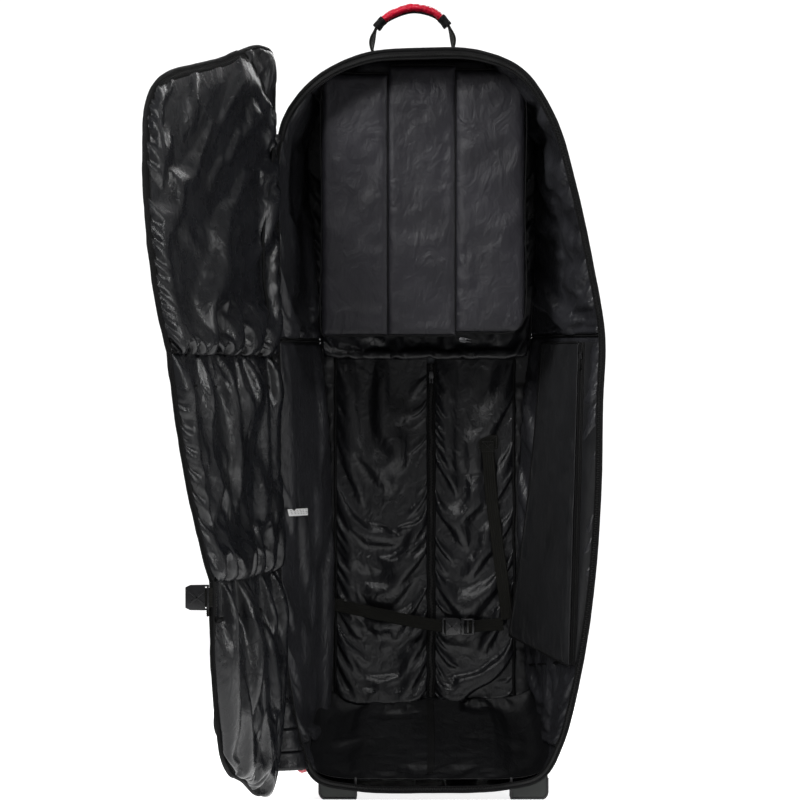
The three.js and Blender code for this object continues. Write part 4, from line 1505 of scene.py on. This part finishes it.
def strap_piece(name, points, width, thickness, across, n, wave=0.6):
    """A flat webbing strap along a route, its width along across, with rolled selvedges."""
    path = route(points, n)
    t = np.arange(n)
    normal = unit(np.cross(np.gradient(path, axis=0), across))
    path = path + normal * (wave * ripple(t / 9, 5))[:, None]
    w, h = width / 2, thickness / 2
    section = [(-w, -h * 0.7), (-w + 2, -h * 1.2), (-w + 3.5, -h), (0, -h * 1.05), (w - 3.5, -h),
               (w - 2, -h * 1.2), (w, -h * 0.7), (w, h * 0.7), (w - 2, h * 1.2), (w - 3.5, h),
               (0, h * 1.05), (-w + 3.5, h), (-w + 2, h * 1.2), (-w, h * 0.7)]
    return sweep(name, path, section, M["webbing"], up=normal)


def stitches(name, points, up):
    """A line of stitches: short raised threads along a path, as one mesh."""
    pitch, radius = 3.2, 0.45
    count = max(2, int(length_of(points) / pitch))
    line = route(points, count * 4) if len(points) > 2 else np.linspace(points[0], points[1], count * 4)
    up = unit(np.asarray(up, float))
    vertices, faces = [], []
    ring = oval(radius, radius, 5)
    for i in range(count):
        a, b = line[4 * i], line[4 * i + 3]
        t = unit(b - a)
        side = np.cross(up, t)
        for s, r in ((0.0, 0.5), (0.3, 1.0), (0.7, 1.0), (1.0, 0.5)):
            c = a + (b - a) * s + up * (0.5 * r)
            for x, y in ring:
                vertices.append(c + side * x * r + up * y * r)
        o = len(vertices) - 20
        for j in range(3):
            for k in range(5):
                faces.append([o + j * 5 + k, o + j * 5 + (k + 1) % 5, o + (j + 1) * 5 + (k + 1) % 5,
                              o + (j + 1) * 5 + k])
        faces.append([o + k for k in range(5)][::-1])
        faces.append([o + 15 + k for k in range(5)])
    obj = make_object(name, np.array(vertices), faces, M["thread"])
    fix_normals(obj)
    return obj


def box_stitch(name, corners, up, body):
    """A sewn box with a cross, corner points in order."""
    c = [np.asarray(p, float) for p in corners]
    runs = [(c[0], c[1]), (c[1], c[2]), (c[2], c[3]), (c[3], c[0]), (c[0], c[2]), (c[1], c[3])]
    on(join(name, [stitches(f"{name}_{i}", r, up) for i, r in enumerate(runs)]), body, "webbing")


def workshop(name, origin, axes, material):
    """Makers of boxes and plates in local axes from an origin: box(x, y, z, size, bevel) and
    plate(x, y, z, outline, depth, bevel)."""
    ax, ay, az = axes = tuple(np.asarray(a, float) for a in axes)
    origin = np.asarray(origin, float)

    def at(x, y, z):
        return origin + ax * x + ay * y + az * z

    def box(x, y, z, size, bevel, corner=0.0, turn=0.0):
        c, s = math.cos(turn), math.sin(turn)
        turned = (ax * c + ay * s, ay * c - ax * s, az) if turn else axes
        return rbox(f"{name}_part", at(x, y, z), size, turned, material, bevel, corner)

    def plate(x, y, z, points, depth, bevel, other=None):
        return shaped(f"{name}_part", points, depth, axes, at(x, y, z), other or material, bevel)

    return box, plate


def pull_tab(name, origin, axes, length=30.0):
    """A zip slider with its hinged pull: local x across, y along the zip, z out of the cloth."""
    box, plate = workshop(name, origin, axes, M["dark_steel"])
    slider = [(-5, -6), (-3, -8), (3, -8), (5, -6), (4.2, 5), (2, 7), (-2, 7), (-4.2, 5)]
    tab = rounded_rect(8.4, length - 17, 3.4, 5)
    return join(name, [
        plate(0, 0, 1.2, slider, 3.4, 0.7), box(0, -1, 3.9, (2.2, 9, 2.0), 0.6),
        box(0, -6.5, 4.6, (6.5, 2.2, 2.0), 0.6),
        *(box(s * 2.6, -12, 4.6, (1.6, 12, 1.6), 0.5) for s in (-1, 1)),
        plate(0, -17 - (length - 17) / 2, 4.6, tab, 3.4, 0.9, M["binding"])])


# ---- Divider pad ----
def padded_panel(name, x0, x1, z0, z1, y0, y1, radii, seed, crease):
    """A foam panel in cloth: crowned faces, tight edges. radii: foot left, foot right, top right,
    top left."""
    nu, nv = 110, 44
    t = np.linspace(0, math.pi, nu)
    u = (1 - np.cos(t)) / 2 * 0.35 + np.linspace(0, 1, nu) * 0.65
    z = z0 + (z1 - z0) * u

    def shrink(foot, top):
        return np.maximum(corner_cut(z - z0, foot), corner_cut(z1 - z, top))

    left, right = x0 + shrink(radii[0], radii[3]), x1 - shrink(radii[1], radii[2])
    s = np.linspace(0, math.pi, nv)
    v = (1 - np.cos(s)) / 2 * 0.4 + np.linspace(0, 1, nv) * 0.6
    x = right[:, None] + (left - right)[:, None] * v[None]
    zz = z[:, None] + 0 * x
    near = np.minimum(np.minimum(x - left[:, None], right[:, None] - x),
                      np.minimum(zz - z0, z1 - zz))
    depth = y1 - y0
    soft = 1 - (1 - np.clip(near / 16, 0, 1)) ** 3
    middle = (y0 + y1) / 2
    front = xyz(x, middle - (depth / 2 - 3.5) * soft - 3.2, zz)
    rear = xyz(x, middle + (depth / 2 - 3.5) * soft + 3.2, zz)
    growth = folds(
        (crease, 0.020), (crease + 70, 0.006),
        (90, lambda u, v: 0.09 * np.exp(-v / 0.06) + 0.09 * np.exp(-(1 - v) / 0.06)),
        (0, lambda u, v: 0.05 * np.exp(-u / 0.02) + 0.05 * np.exp(-(1 - u) / 0.02)))
    front = crumple(front, growth, seed, high=5.0, scale=90, rounds=(90, 70, 50))
    return cloth(name, front, 3, M["pad"], back=rear)


def pad_piece(obj, body, *nodes, **facts):
    """A piece of the pad, attached to its body, with a mesh of its own."""
    on(obj, body, "pad", *nodes, **facts)
    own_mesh(obj)


def pad():
    y0, y1 = -210.0, -192.0
    for name, body, node, fill, *shape in (
        ("pad_centre", "pad", "pad_centre_panel", 0.7, -84, 52, 930, 1474, y0, y1, (0, 0, 0, 0), 151, 38),
        ("pad_left", "pad_left_wing", "pad_left_panel", 0.7,
         -217, -84.6, 930, 1457, y0, y1, (4, 0, 0, 32), 152, 15),
        ("pad_right", "pad_right_wing", "pad_right_panel", 0.7,
         52.6, 191, 936, 1465, y0, y1, (0, 34, 46, 0), 153, 60),
        ("pad_rear", "pad", "pad_rear_layer", 0.5,
         -156, 119, 960, 1483, -190, -178, (10, 10, 20, 34), 154, 10),
    ):
        pad_piece(padded_panel(name, *shape), body, node, fill=fill)
    # Bound edges: down both folds, and round the outside of the wings.
    for name, x, z0, z1 in (("fold_left", -84.3, 932, 1457), ("fold_right", 52.3, 938, 1465)):
        z = np.linspace(z0, z1, 130)
        line = xyz(x + 0.5 * ripple(z / 20, 155), y0 + 5.0, z)
        pad_piece(piping(f"pad_{name}", line, 1.5, seed=156), "pad")
    wings = (
        ("left", "pad_left_wing", [(-86, 930), (-150, 929), (-214, 930), (-218, 935), (-218, 1180),
                                   (-218, 1422), (-210, 1447), (-188, 1458), (-130, 1458), (-86, 1458)]),
        ("right", "pad_right_wing", [(54, 935), (110, 935), (156, 935), (181, 946), (192, 971),
                                     (192, 1180), (192, 1417), (179, 1451), (147, 1466), (100, 1466),
                                     (54, 1466)]),
        ("centre_top", "pad", [(-82, 1475), (-40, 1475.5), (10, 1475.5), (50, 1475)]),
        ("centre_foot", "pad", [(-82, 929), (-40, 928.5), (10, 928.5), (50, 929)]),
    )
    for name, body, points in wings:
        n = 160 if len(points) > 5 else 50
        line = route([(x, -201.0, z) for x, z in points], n)
        for i, y in enumerate((-207.5, -194.5)):
            edge = xyz(line[:, 0], y, line[:, 2])
            pad_piece(piping(f"pad_{name}_edge_{i + 1}", edge, 1.3, seed=157), body)
    strap = strap_piece("pad_hanger_strap", [(-20, -177, 1443), (-20, -100, 1441), (-20, -17, 1443)],
                        200, 2.4, (1, 0, 0), n=50, wave=2.0)
    on(strap, "shell", "webbing", "pad_hanger")


pad()


# ---- Straps and buckles inside ----
def buckle_socket(name, origin, axes, length, height, depth, body, slot, *nodes):
    """The socket half of a side-release buckle: local x points to its open mouth."""
    box, plate = workshop(name, origin, axes, M["buckle"])
    h, half = height / 2, depth / 2
    waist = [(8, -h), (length - 9, -h * 0.98), (length, -h * 0.80), (length, h * 0.80),
             (length - 9, h * 0.98), (8, h)]
    parts = [plate(0, 0, s * (half - 1.2), waist, 1.9, 0.7) for s in (-1, 1)]
    for s in (-1, 1):
        parts += [box(12, s * (h - 2), 0, (10, 4, depth - 2), 0.8),
                  box(length - 5, s * (h * 0.80 - 1.6), 0, (9, 3, depth - 2), 0.8),
                  box(length * 0.52, 0, half - 0.1, (length * 0.82, 4.2, 1.6), 0.6, 2.0,
                      math.radians(s * 40))]
    parts += [box(x, 0, 0, (w, height, depth * 0.55), 1.2) for x, w in ((2.0, 4.0), (9.0, 4.2))]
    parts += [box(5.5, s * (h - 1.8), 0, (11, 3.6, depth * 0.55), 1.0) for s in (-1, 1)]
    on(join(name, parts), body, slot, *nodes)


def buckle_plug(name, origin, axes, length, tongue, height, depth, body, slot, *nodes):
    """The plug half: local x points from its prongs' tips to its ladder bars."""
    box, plate = workshop(name, origin, axes, M["buckle"])
    h = height / 2
    parts = [box(3, 0, 0, (6, height, depth * 0.8), 1.3),
             box(length - 2.4, 0, 0, (4.8, height, depth * 0.7), 1.3),
             box(length - 13, 0, -depth * 0.1, (4.0, height - 4, depth * 0.4), 1.0)]
    shape = [(0, 0.74), (-0.55, 0.86), (-0.72, 0.62), (-1, 0.34), (-0.94, 0.22), (-0.6, 0.42), (0, 0.44)]
    for s in (-1, 1):
        parts.append(box(length / 2, s * (h - 1.9), 0, (length - 1, 3.8, depth * 0.7), 1.0))
        prong = [(tongue * x, s * h * y) for x, y in shape][::-s]
        parts.append(plate(0, 0, 0, prong, depth * 0.42, 0.6))
    parts.append(box(-tongue / 2 + 1, 0, 0, (tongue, 4.0, depth * 0.35), 0.7))
    obj = join(name, parts)
    fix_normals(obj)
    on(obj, body, slot, *nodes)


def cinch():
    y, z = -38.0, 336.0
    left = strap_piece("cinch_webbing_left", [(-190, -26, 379), (-140, -34, 369), (-50, -39, 350),
                                              (10, -38.5, 339), (36, y, z)], 25, 2.2, (0.12, 0, 1), n=110)
    on(left, "shell", "webbing", "cinch_strap_left")
    right = strap_piece("cinch_webbing_right", [(76, -38, z - 1), (92, -36, z), (112, -30, z + 2),
                                                (152, -27, z + 4)], 25, 2.2, (0, 0, 1), n=60)
    on(right, "shell", "webbing", "cinch_strap_right")
    upright = strap_piece("upright_webbing", [(119, -27, 712), (121, -26.5, 690), (128, -27, 600),
                                              (146, -28, 460), (156, -28, 384), (160, -28, 350)],
                          25, 2.2, (1, 0, 0.08), n=150)
    patch = rbox("upright_patch", (119, -23.5, 714), (44, 30, 3.0), (X, Z, -Y), M["webbing"], 1.2, 3)
    fold = rbox("upright_fold", (120, -26.5, 704), (27, 26, 3.4), (X, Z, -Y), M["webbing"], 1.4, 2)
    on(join("upright_webbing", [upright, patch, fold]), "shell", "webbing", "upright_strap")
    box_stitch("upright_stitches", [(109, -28.6, 694), (131, -28.6, 694), (131, -28.6, 715),
                                    (109, -28.6, 715)], -Y, "shell")
    box_stitch("upright_patch_stitches", [(100, -25.4, 702), (138, -25.4, 702), (138, -25.4, 726),
                                          (100, -25.4, 726)], -Y, "shell")
    tail = rbox("cinch_end_left", (-184, -24.5, 379), (20, 27, 3.4), (X, Z, -Y), M["webbing"], 1.4, 2)
    on(tail, "shell", "webbing")
    buckle_socket("cinch_socket", (26, y - 1, z), (X, Z, -Y), 38, 36, 11, "shell", "buckle",
                  "cinch_buckle_socket")
    buckle_plug("cinch_plug_frame", (65, y - 1, z), (X, Z, -Y), 27, 24, 34, 9, "cinch_plug", "buckle",
                "cinch_buckle_plug")


cinch()


# ---- Side pocket, label and sliders ----
def line_between(a, b):
    a, b = np.asarray(a, float), np.asarray(b, float)
    return lambda t: a + (b - a) * np.asarray(t, float)[..., None]


def side_pocket():
    front = line_between((299, -206, 916), (279, -252, 266))
    rear_route = route([(230, -76, 916), (216, -68, 740), (200, -60, 584), (178, -50, 420),
                        (164, -44, 318)], 100)

    def rear(t):
        return columns(t, np.linspace(0, 1, 100), rear_route)

    nu, nv = 190, 60
    u, v = np.meshgrid(np.linspace(1, 0, nu), np.linspace(0, 1, nv), indexing="ij")
    base = front(u) * (1 - v[..., None]) + rear(u) * v[..., None]
    normal = unit(np.array([-1.0, -0.55, 0]))
    belly = 7 * np.sin(math.pi * v) * np.sin(math.pi * u) ** 0.6
    base = base + normal * belly[..., None]
    side = facing(base, normal)
    growth = folds((90, lambda u, v: 0.03 * np.exp(-v / 0.06) + 0.02 * np.exp(-(1 - v) / 0.08)),
                   (12, 0.014), (0, lambda u, v: 0.03 * np.exp(-u / 0.08)))
    grid = crumple(base, growth, 161, high=7, side=side, scale=130)
    panel = cloth("side_pocket_panel", grid, 1.3, M["smooth"], side=side)
    on(panel, "shell", "mesh", "side_pocket", flat=flat_size(base, 1.02),
       rests=["lining_right_lower"])
    # The pocket's zip along its front edge.
    line = line_between((307.5, -215, 916), (287.5, -261, 268))
    across = unit(np.array([4.5, -9.0, 0]))
    out = unit(np.cross(across, (0, 0, 1)))
    out = out if out[0] < 0 else -out
    path = line(np.linspace(0, 1, 150))
    tape = sweep("side_pocket_tape", path, rounded_rect(17, 1.8, 0.8), M["tape"], up=out)
    on(tape, "shell", "tape", "side_pocket_zip_tape")
    lifted = line_between(line(np.array(0.0)) + out * 1.4, line(np.array(1.0)) + out * 1.4)
    on(teeth("side_pocket_teeth", lifted, 632, up=out, pitch=3.4), "shell", "tape")
    for i, (offset, r) in enumerate(((9.0, 2.2), (-9.0, 2.0))):
        on(piping(f"side_pocket_edge_{i + 1}", path + across * offset + out * 0.8, r, seed=162, up=out),
           "shell", "tape")
    # The smooth cloth between that zip and the rim.
    z = path[:, 2]
    inner = path + across * 9.5 + out * 0.2
    outer = xyz(x_at(z, outline(_rim, np.linspace(2.0, 13.0, 500), 12.0)), -270.0, z)
    v = np.linspace(0, 1, 14)[None, :, None]
    strip = inner[:, None] * (1 - v) + outer[:, None] * v
    strip = strip + out * (3.0 * np.sin(math.pi * v))
    on(cloth("side_pocket_front_strip", strip, LINING, M["smooth"], side=facing(strip, out)),
       "shell", "mesh")
    on(piping("side_pocket_rear_seam", rear(np.linspace(0, 1, 120)), 2.4, seed=163), "shell", "mesh")
    for i, t in enumerate((0.0, 1.0)):
        ends = np.linspace(front(t), rear(t), 50)
        on(piping(f"side_pocket_end_{i + 1}", ends, 2.4, seed=164, up=(0, 0, 1)), "shell", "mesh")
    at = line(np.array(0.041)) + out * 2.0
    slider = pull_tab("side_pocket_zip_pull", at, (across, Z, out))
    on(slider, "side_pocket_pull", "steel", "side_pocket_slider")


def care_label():
    k = 21.95
    a, b = wall(k, 0.05, 20.0), wall(k, 0.38, 24.0)
    z0, z1 = a[2] + 12, a[2] - 2
    n, m = 40, 14
    u, v = unit_square(n, m)
    p = a + (b - a) * u[..., None]
    curl = 2.5 * np.sin(u * 4.2) * v + 3 * v
    grid = xyz(p[..., 0] + curl, p[..., 1], z0 + (z1 - z0) * v)
    side = facing(grid, X)
    label = cloth("care_label_tag", grid, 0.6, M["label"], side=side)
    on(label, "shell", "label", "care_label")
    # Generic rows of print: short dashes that spell nothing.
    rows = []
    for r, z_share in enumerate((0.3, 0.5, 0.7)):
        for c in range(6):
            i = 4 + c * 6
            p0, p1 = grid[i, int(z_share * (m - 1))], grid[min(i + 3 + (c * r) % 2, n - 1),
                                                            int(z_share * (m - 1))]
            rows.append(sweep(f"care_label_dash_{r}_{c}", np.stack([p0, (p0 + p1) / 2, p1]),
                              rounded_rect(0.9, 0.3, 0.1, 2), M["print"], up=(1, 0, 0)))
    dashes = join("care_label_print", rows)
    on(dashes, "shell", "label")


def loose_sliders():
    on(pull_tab("back_zip_pull", (4, -18.6, 852), (X, Z, -Y)), "liner_pull", "steel", "liner_zip_slider")
    # The slider and its pull that hang under the pad, in front of the lining.
    turn = math.radians(84)
    bx = X * math.cos(turn) + Z * math.sin(turn)
    bz = -X * math.sin(turn) + Z * math.cos(turn)
    on(pull_tab("pad_pocket_pull", (66, -205, 921), (bx, bz, -Y), length=34), "shell", "steel")


side_pocket()
care_label()
loose_sliders()
lid_linings()
lid_edges()
lid_seams()
hinge_web()
lid_corner()
gap_flap("lid_top_flap", "upper", np.linspace(-150, 236, 100), np.linspace(17.5, 10.3, 500), 1562, 0.66,
         140, 1)
gap_flap("lid_foot_flap", "lower", np.linspace(-200, 262, 110), np.linspace(-2.6, 3.4, 500), -126, 0.68,
         170, -1)


# ---- Lid: outside pockets and the compression strap ----
def lid_axes(degrees):
    """Directions across the open lid and out of its outer face."""
    a = float(np.radians(degrees))
    return np.array([math.cos(a), -math.sin(a), 0]), np.array([-math.sin(a), -math.cos(a), 0])


def lid_pocket(name, section, x0, x1, z0, z1, radius, seed, zip_z, slider_x, pull_body):
    nu, nv = 90, 120
    t = np.linspace(0, 1, nu)
    z = z0 + (z1 - z0) * t
    shrink = corner_cut(np.minimum(z - z0, z1 - z), radius)
    v = np.linspace(0, 1, nv)[None]
    x = (x0 + shrink)[:, None] + (x1 - x0 - 2 * shrink)[:, None] * v
    zz = z[:, None] + 0 * x
    near = np.minimum(np.minimum(x - x0, x1 - x), np.minimum(zz - z0, z1 - zz))
    puff = 6.5 * (1 - (1 - np.clip(near / 60, 0, 1)) ** 2) - 4.0 * bump(zz, zip_z, 9)
    zz = zz + (foot_rise(x, zz) if section == "lower" else 0)
    base = xyz(x, -292.5 - np.maximum(puff, 0.3), zz)
    growth = folds((90, lambda u, v: 0.03 * np.exp(-v / 0.06) + 0.03 * np.exp(-(1 - v) / 0.06)),
                   (25, 0.012))
    grid = crumple(base, growth, seed, high=5, side=-1, scale=110, rounds=(80, 50, 30))
    behind = base.copy()
    behind[..., 1] = -291.0
    panel = cloth(f"{name}_pocket_cloth", swing(grid, section), 2, M["outer"],
                  back=swing(behind, section), side=-1)
    on_lid(panel, section, "outer", f"{name}_pocket")
    n = 120
    xs = np.linspace(x0 + radius * 0.4, x1 - radius * 0.4, n)
    path = xyz(xs, -296.2, zip_z)
    tape = sweep(f"{name}_pocket_tape", swing(path, section), rounded_rect(15, 2, 0.8), M["tape"],
                 up=LID_BACK)
    on_lid(tape, section, "tape")

    def zip_line(t):
        return swing(xyz(xs[0] + (xs[-1] - xs[0]) * t, -297.6, float(zip_z)), section)

    on_lid(teeth(f"{name}_pocket_teeth", zip_line, x1 - x0, up=LID_BACK, pitch=3.4), section, "tape")
    edge = rounded_rect(x1 - x0, z1 - z0, radius, 9) + [(x0 + x1) / 2, (z0 + z1) / 2]
    if section == "lower":
        edge[:, 1] += foot_rise(edge[:, 0], edge[:, 1])
    ring = np.concatenate([edge, edge[:1]])
    line = along(ring, np.linspace(0, 1, 260, endpoint=False))
    cord = sweep(f"{name}_pocket_piping", swing(rise(line, -292.6), section), oval(2.6, 2.6, 8),
                 M["binding"], up=(*LID_BACK[:2], 0.03), closed=True)
    on_lid(cord, section, "outer")
    share = step(zip_z, *LID_TWIST[section]) if section in LID_TWIST else 1
    across, out = lid_axes(SECTIONS[section][2] * share)
    at = swing(np.array([slider_x, -298.6, zip_z]), section)
    on(pull_tab(f"{name}_pocket_pull", at, (Z, -across, out)), pull_body, "steel",
       f"{name}_pocket_slider")


def compression():
    z = 414.0
    out = lid_axes(SECTIONS["lower"][2])[1]
    x = np.linspace(-296, 338, 160)
    y = -292.3 - 1.0 * ripple(x / 60, 171)
    path = swing(xyz(x, y, z), "lower")
    webbing = strap_piece("lid_compression_webbing", np.concatenate([path[::8], path[-1:]]), 38, 2.4,
                          Z, n=160, wave=0.8)
    on(webbing, "lid_lower", "webbing", "lid_compression_strap")
    for i, x0 in enumerate((-292, 300)):
        c = [swing(np.array([x0 + dx, -294.6, z + dz]), "lower")
             for dx, dz in ((0, -15), (28, -15), (28, 15), (0, 15))]
        box_stitch(f"lid_compression_stitches_{i + 1}", c, out, "lid_lower")
    # The outer buckle's joint, whose place in the frame is in metres.
    pivot = np.array([-0.30142, -0.47745, 0.414]) * 1000 - SHIFT + (4, 0, 17)
    loop = strap_piece("lid_buckle_loop", [pivot + (6, 3, 0), pivot + (-3, -1, 0), pivot + (-10, -2, 0),
                                           pivot + (-4, 3.5, 0)], 36, 2.2, (0, 0, 1), n=40, wave=0)
    on(loop, "lid_buckle", "webbing")
    buckle_socket("lid_buckle_socket", pivot, (-X, Z, -Y), 44, 48, 13, "lid_buckle", "buckle",
                  "lid_compression_socket")
    onto = [wall(5.1, s, -5.0) for s in (0.97, 0.7, 0.42, 0.33)]
    strap = strap_piece("shell_compression_webbing", onto, 38, 2.4, (0, 0, 1), n=90)
    on(strap, "shell", "webbing", "shell_compression_strap")
    at = wall(5.1, 0.3, -13.0)
    lean = math.atan2(DEPTH, 130)
    c, s = math.cos(math.pi - lean), math.sin(math.pi - lean)
    ax, ay = np.array([c, s, 0]), np.array([-s, c, 0])
    buckle_plug("shell_compression_plug_frame", at, (ax, Z, ay), 24, 22, 46, 10, "shell", "buckle",
                "shell_compression_plug")


lid_pocket("lid_large", "middle", -284, 296, 480, 868, 20, 173, 852, 0, "large_pocket_pull")
lid_pocket("lid_small", "lower", -262, 262, 84, 352, 30, 174, 338, -20, "small_pocket_pull")
compression()


# ---- Grab handles ----
def wrapped_grip(name, points, rx, ry, up, seed, body, node):
    """A padded grip in gathered satin: folds run across it, drawn in at its ends."""
    path = route(points, 150)
    t = np.linspace(0, 1, len(path))[:, None]
    a = np.linspace(0, 2 * math.pi, 36, endpoint=False)[None]
    s = t * length_of(path)
    rough = (noise(s / 9 + np.sin(a) * 0.8, np.cos(a) * 1.6 + 3, seed)
             + 0.6 * noise(s / 4.2 + np.sin(a + 1), np.cos(a) * 2 + 9, seed + 1)
             + 0.3 * noise(s / 2.2, np.cos(a) * 3 + 5, seed + 2))
    swell = (0.90 + 0.10 * np.sin(math.pi * t) ** 0.5 - 0.10 * np.exp(-t / 0.03)
             - 0.10 * np.exp(-(1 - t) / 0.03))
    size = swell * (0.97 + 0.075 * rough)
    section = np.stack([rx * np.cos(a) * size, ry * np.sin(a) * size], -1)
    on(sweep(name, path, section, M["grip"], up=up), body, "grip", node)


def top_handle():
    y = -140.0
    for side, points in (("left", [(-115, y, 1500), (-117, y, 1514), (-116, y, 1530), (-108, y, 1556)]),
                         ("right", [(46, y, 1505), (48, y, 1520), (47, y, 1534), (38, y, 1560)])):
        lean = 0.26 * np.sin(np.linspace(0, math.pi, 50)) ** 2
        across = xyz(lean if side == "left" else -lean, 1.0, 0.0)
        strap = strap_piece(f"top_handle_{side}_strap", points, 34, 4.0, across, n=50, wave=0.2)
        on(strap, "top_handle", "webbing", f"top_handle_{side}_webbing")
        base = points[0]
        tab = rbox(f"top_handle_{side}_tab", (base[0], y, base[2] + 1.0), (22, 44, 4), (X, Y, Z),
                   M["webbing"], 1.5, 4)
        on(tab, "shell", "webbing")
    arc = [(-108, y, 1554), (-95, y, 1569), (-76, y, 1582), (-34, y, 1595), (6, y, 1587), (23, y, 1575),
           (37, y, 1558)]
    wrapped_grip("top_grip", arc, 17.5, 9.0, (0, 0.02, 1), 181, "top_handle", "top_handle_grip")
    path = route(arc, 120)
    for i, (a, b) in enumerate(((0, 17), (103, 120))):
        part = path[a:b]
        ring = oval(18.2, 9.6, 20)
        size = 1 + 0.03 * np.sin(np.linspace(0, 9, len(part)))
        cuff = sweep(f"top_grip_cuff_{i + 1}", part, ring[None] * size[:, None, None], M["binding"],
                     up=(0, 0.02, 1))
        on(cuff, "top_handle", "webbing")
    under = path[12:108] - (0, 0, 8.4)
    hem_strip = sweep("top_grip_hem", under, rounded_rect(16, 4.5, 1.8), M["binding"], up=(0, 0.02, 1))
    on(hem_strip, "top_handle", "webbing")


def lower_handle():
    for side, points, across in (
        ("front", [(-262, -208, 106), (-266, -207, 92), (-264, -205, 76)], (0.15, 1, 0)),
        ("rear", [(-240, -86, 106), (-249, -88, 92), (-253, -92, 76)], (0.15, 1, 0)),
    ):
        strap = strap_piece(f"lower_handle_{side}_strap", points, 22, 4.0, across, n=40, wave=0.1)
        on(strap, "lower_handle", "webbing", f"lower_handle_{side}_webbing")
    arc = [(-262, -205, 68), (-259, -178, 60), (-256, -147, 56), (-254, -119, 60), (-252, -92, 69)]
    wrapped_grip("lower_grip", arc, 11.5, 11.5, (0.05, 0, 1), 184, "lower_handle", "lower_handle_grip")
    path = route(arc, 100)
    for i, (a, b) in enumerate(((0, 12), (88, 100))):
        cuff = sweep(f"lower_grip_cuff_{i + 1}", path[a:b], oval(12, 12, 20), M["binding"], up=(0.05, 0, 1))
        on(cuff, "lower_handle", "webbing")


# ---- Base: wheels, feet and tub ----
def base():
    for side, x in (("left", WHEELBASE_MIDDLE - HALF_TRACK), ("right", WHEELBASE_MIDDLE + HALF_TRACK)):
        centre = (x, -22.0, 45.0)
        tyre = [(31, -16), (33, -17), (38, -17), (41, -15.5), (44, -11.5), (45, -7), (45, -2.2),
                (43.8, -1.6), (43.8, 1.6), (45, 2.2), (45, 7), (44, 11.5), (41, 15.5), (38, 17),
                (33, 17), (31, 16)]
        on(lathe(f"{side}_wheel_tyre", tyre, centre, X, M["rubber"], n=108), f"{side}_wheel", "tyre",
           f"{side}_tyre")
        rim_ring = [(25, -13), (26, -15.5), (30.7, -15.5), (30.7, 15.5), (26, 15.5), (25, 13)]
        boss = [(4.4, -16), (9, -16), (10.5, -14), (10.5, 14), (9, 16), (4.4, 16)]
        parts = [lathe(f"{side}_hub_rim", rim_ring, centre, X, M["hub"], n=72),
                 lathe(f"{side}_hub_boss", boss, centre, X, M["hub"], n=48)]
        for i in range(6):
            a = i * math.pi / 3 + 0.3
            radial = np.array([0, math.cos(a), math.sin(a)])
            round_ = np.array([0, -math.sin(a), math.cos(a)])
            parts.append(shaped(f"{side}_spoke_{i}", [(9, -4.2), (26, -3.0), (26, 3.0), (9, 4.2)], 20,
                                (radial, round_, X), centre, M["hub"], 1.2))
        web = [(9.8, -3), (25.8, -3), (25.8, 3), (9.8, 3)]
        parts.append(lathe(f"{side}_hub_web", web, centre, X, M["hub"], n=72))
        on(join(f"{side}_hub_wheel", parts), f"{side}_wheel", "hub", f"{side}_wheel_hub")
    shown = {"base_tub": "plastic", "left_wheel_housing": "plastic", "right_wheel_housing": "plastic",
             "left_axle": "steel", "right_axle": "steel", "left_front_foot": "foot",
             "right_front_foot": "foot", "stiffener_board": "board"}
    for node, kind in shown.items():
        obj = frame["nodes"][node]
        obj.data.materials.clear()
        obj.data.materials.append(M[kind])
        round_edges(obj, {"foot": 2.5, "plastic": 1.5}.get(kind, 0.6), 3)
    # A dark bumper round the face and heel of each foot.
    for side, x, outwards in (("left", 1.0 - HALF_TRACK, -1), ("right", 13.0 + HALF_TRACK, 1)):
        half, r = 36, 16
        left_r, right_r = (r, 4) if outwards < 0 else (4, r)
        turn = np.linspace(0, math.pi / 2, 7)
        low = [(x - half + left_r * (1 - math.cos(t)), left_r * (1 - math.sin(t))) for t in turn]
        high = [(x + half - right_r * (1 - math.sin(t)), right_r * (1 - math.cos(t))) for t in turn]
        loop = np.array([(x - half, 44), *low, *high, (x + half, 44)])
        for i, y in enumerate((-267.0, -208.0)):
            path = xyz(loop[:, 0], y, np.maximum(loop[:, 1], 2.4))
            line = columns(np.linspace(0, 1, 90), np.linspace(0, 1, len(path)), path)
            on(sweep(f"{side}_foot_bumper_{i + 1}", line, oval(2.8, 2.6, 8), M["rubber"], up=(0, 1, 0)),
               "shell", "foot")


top_handle()
lower_handle()
base()
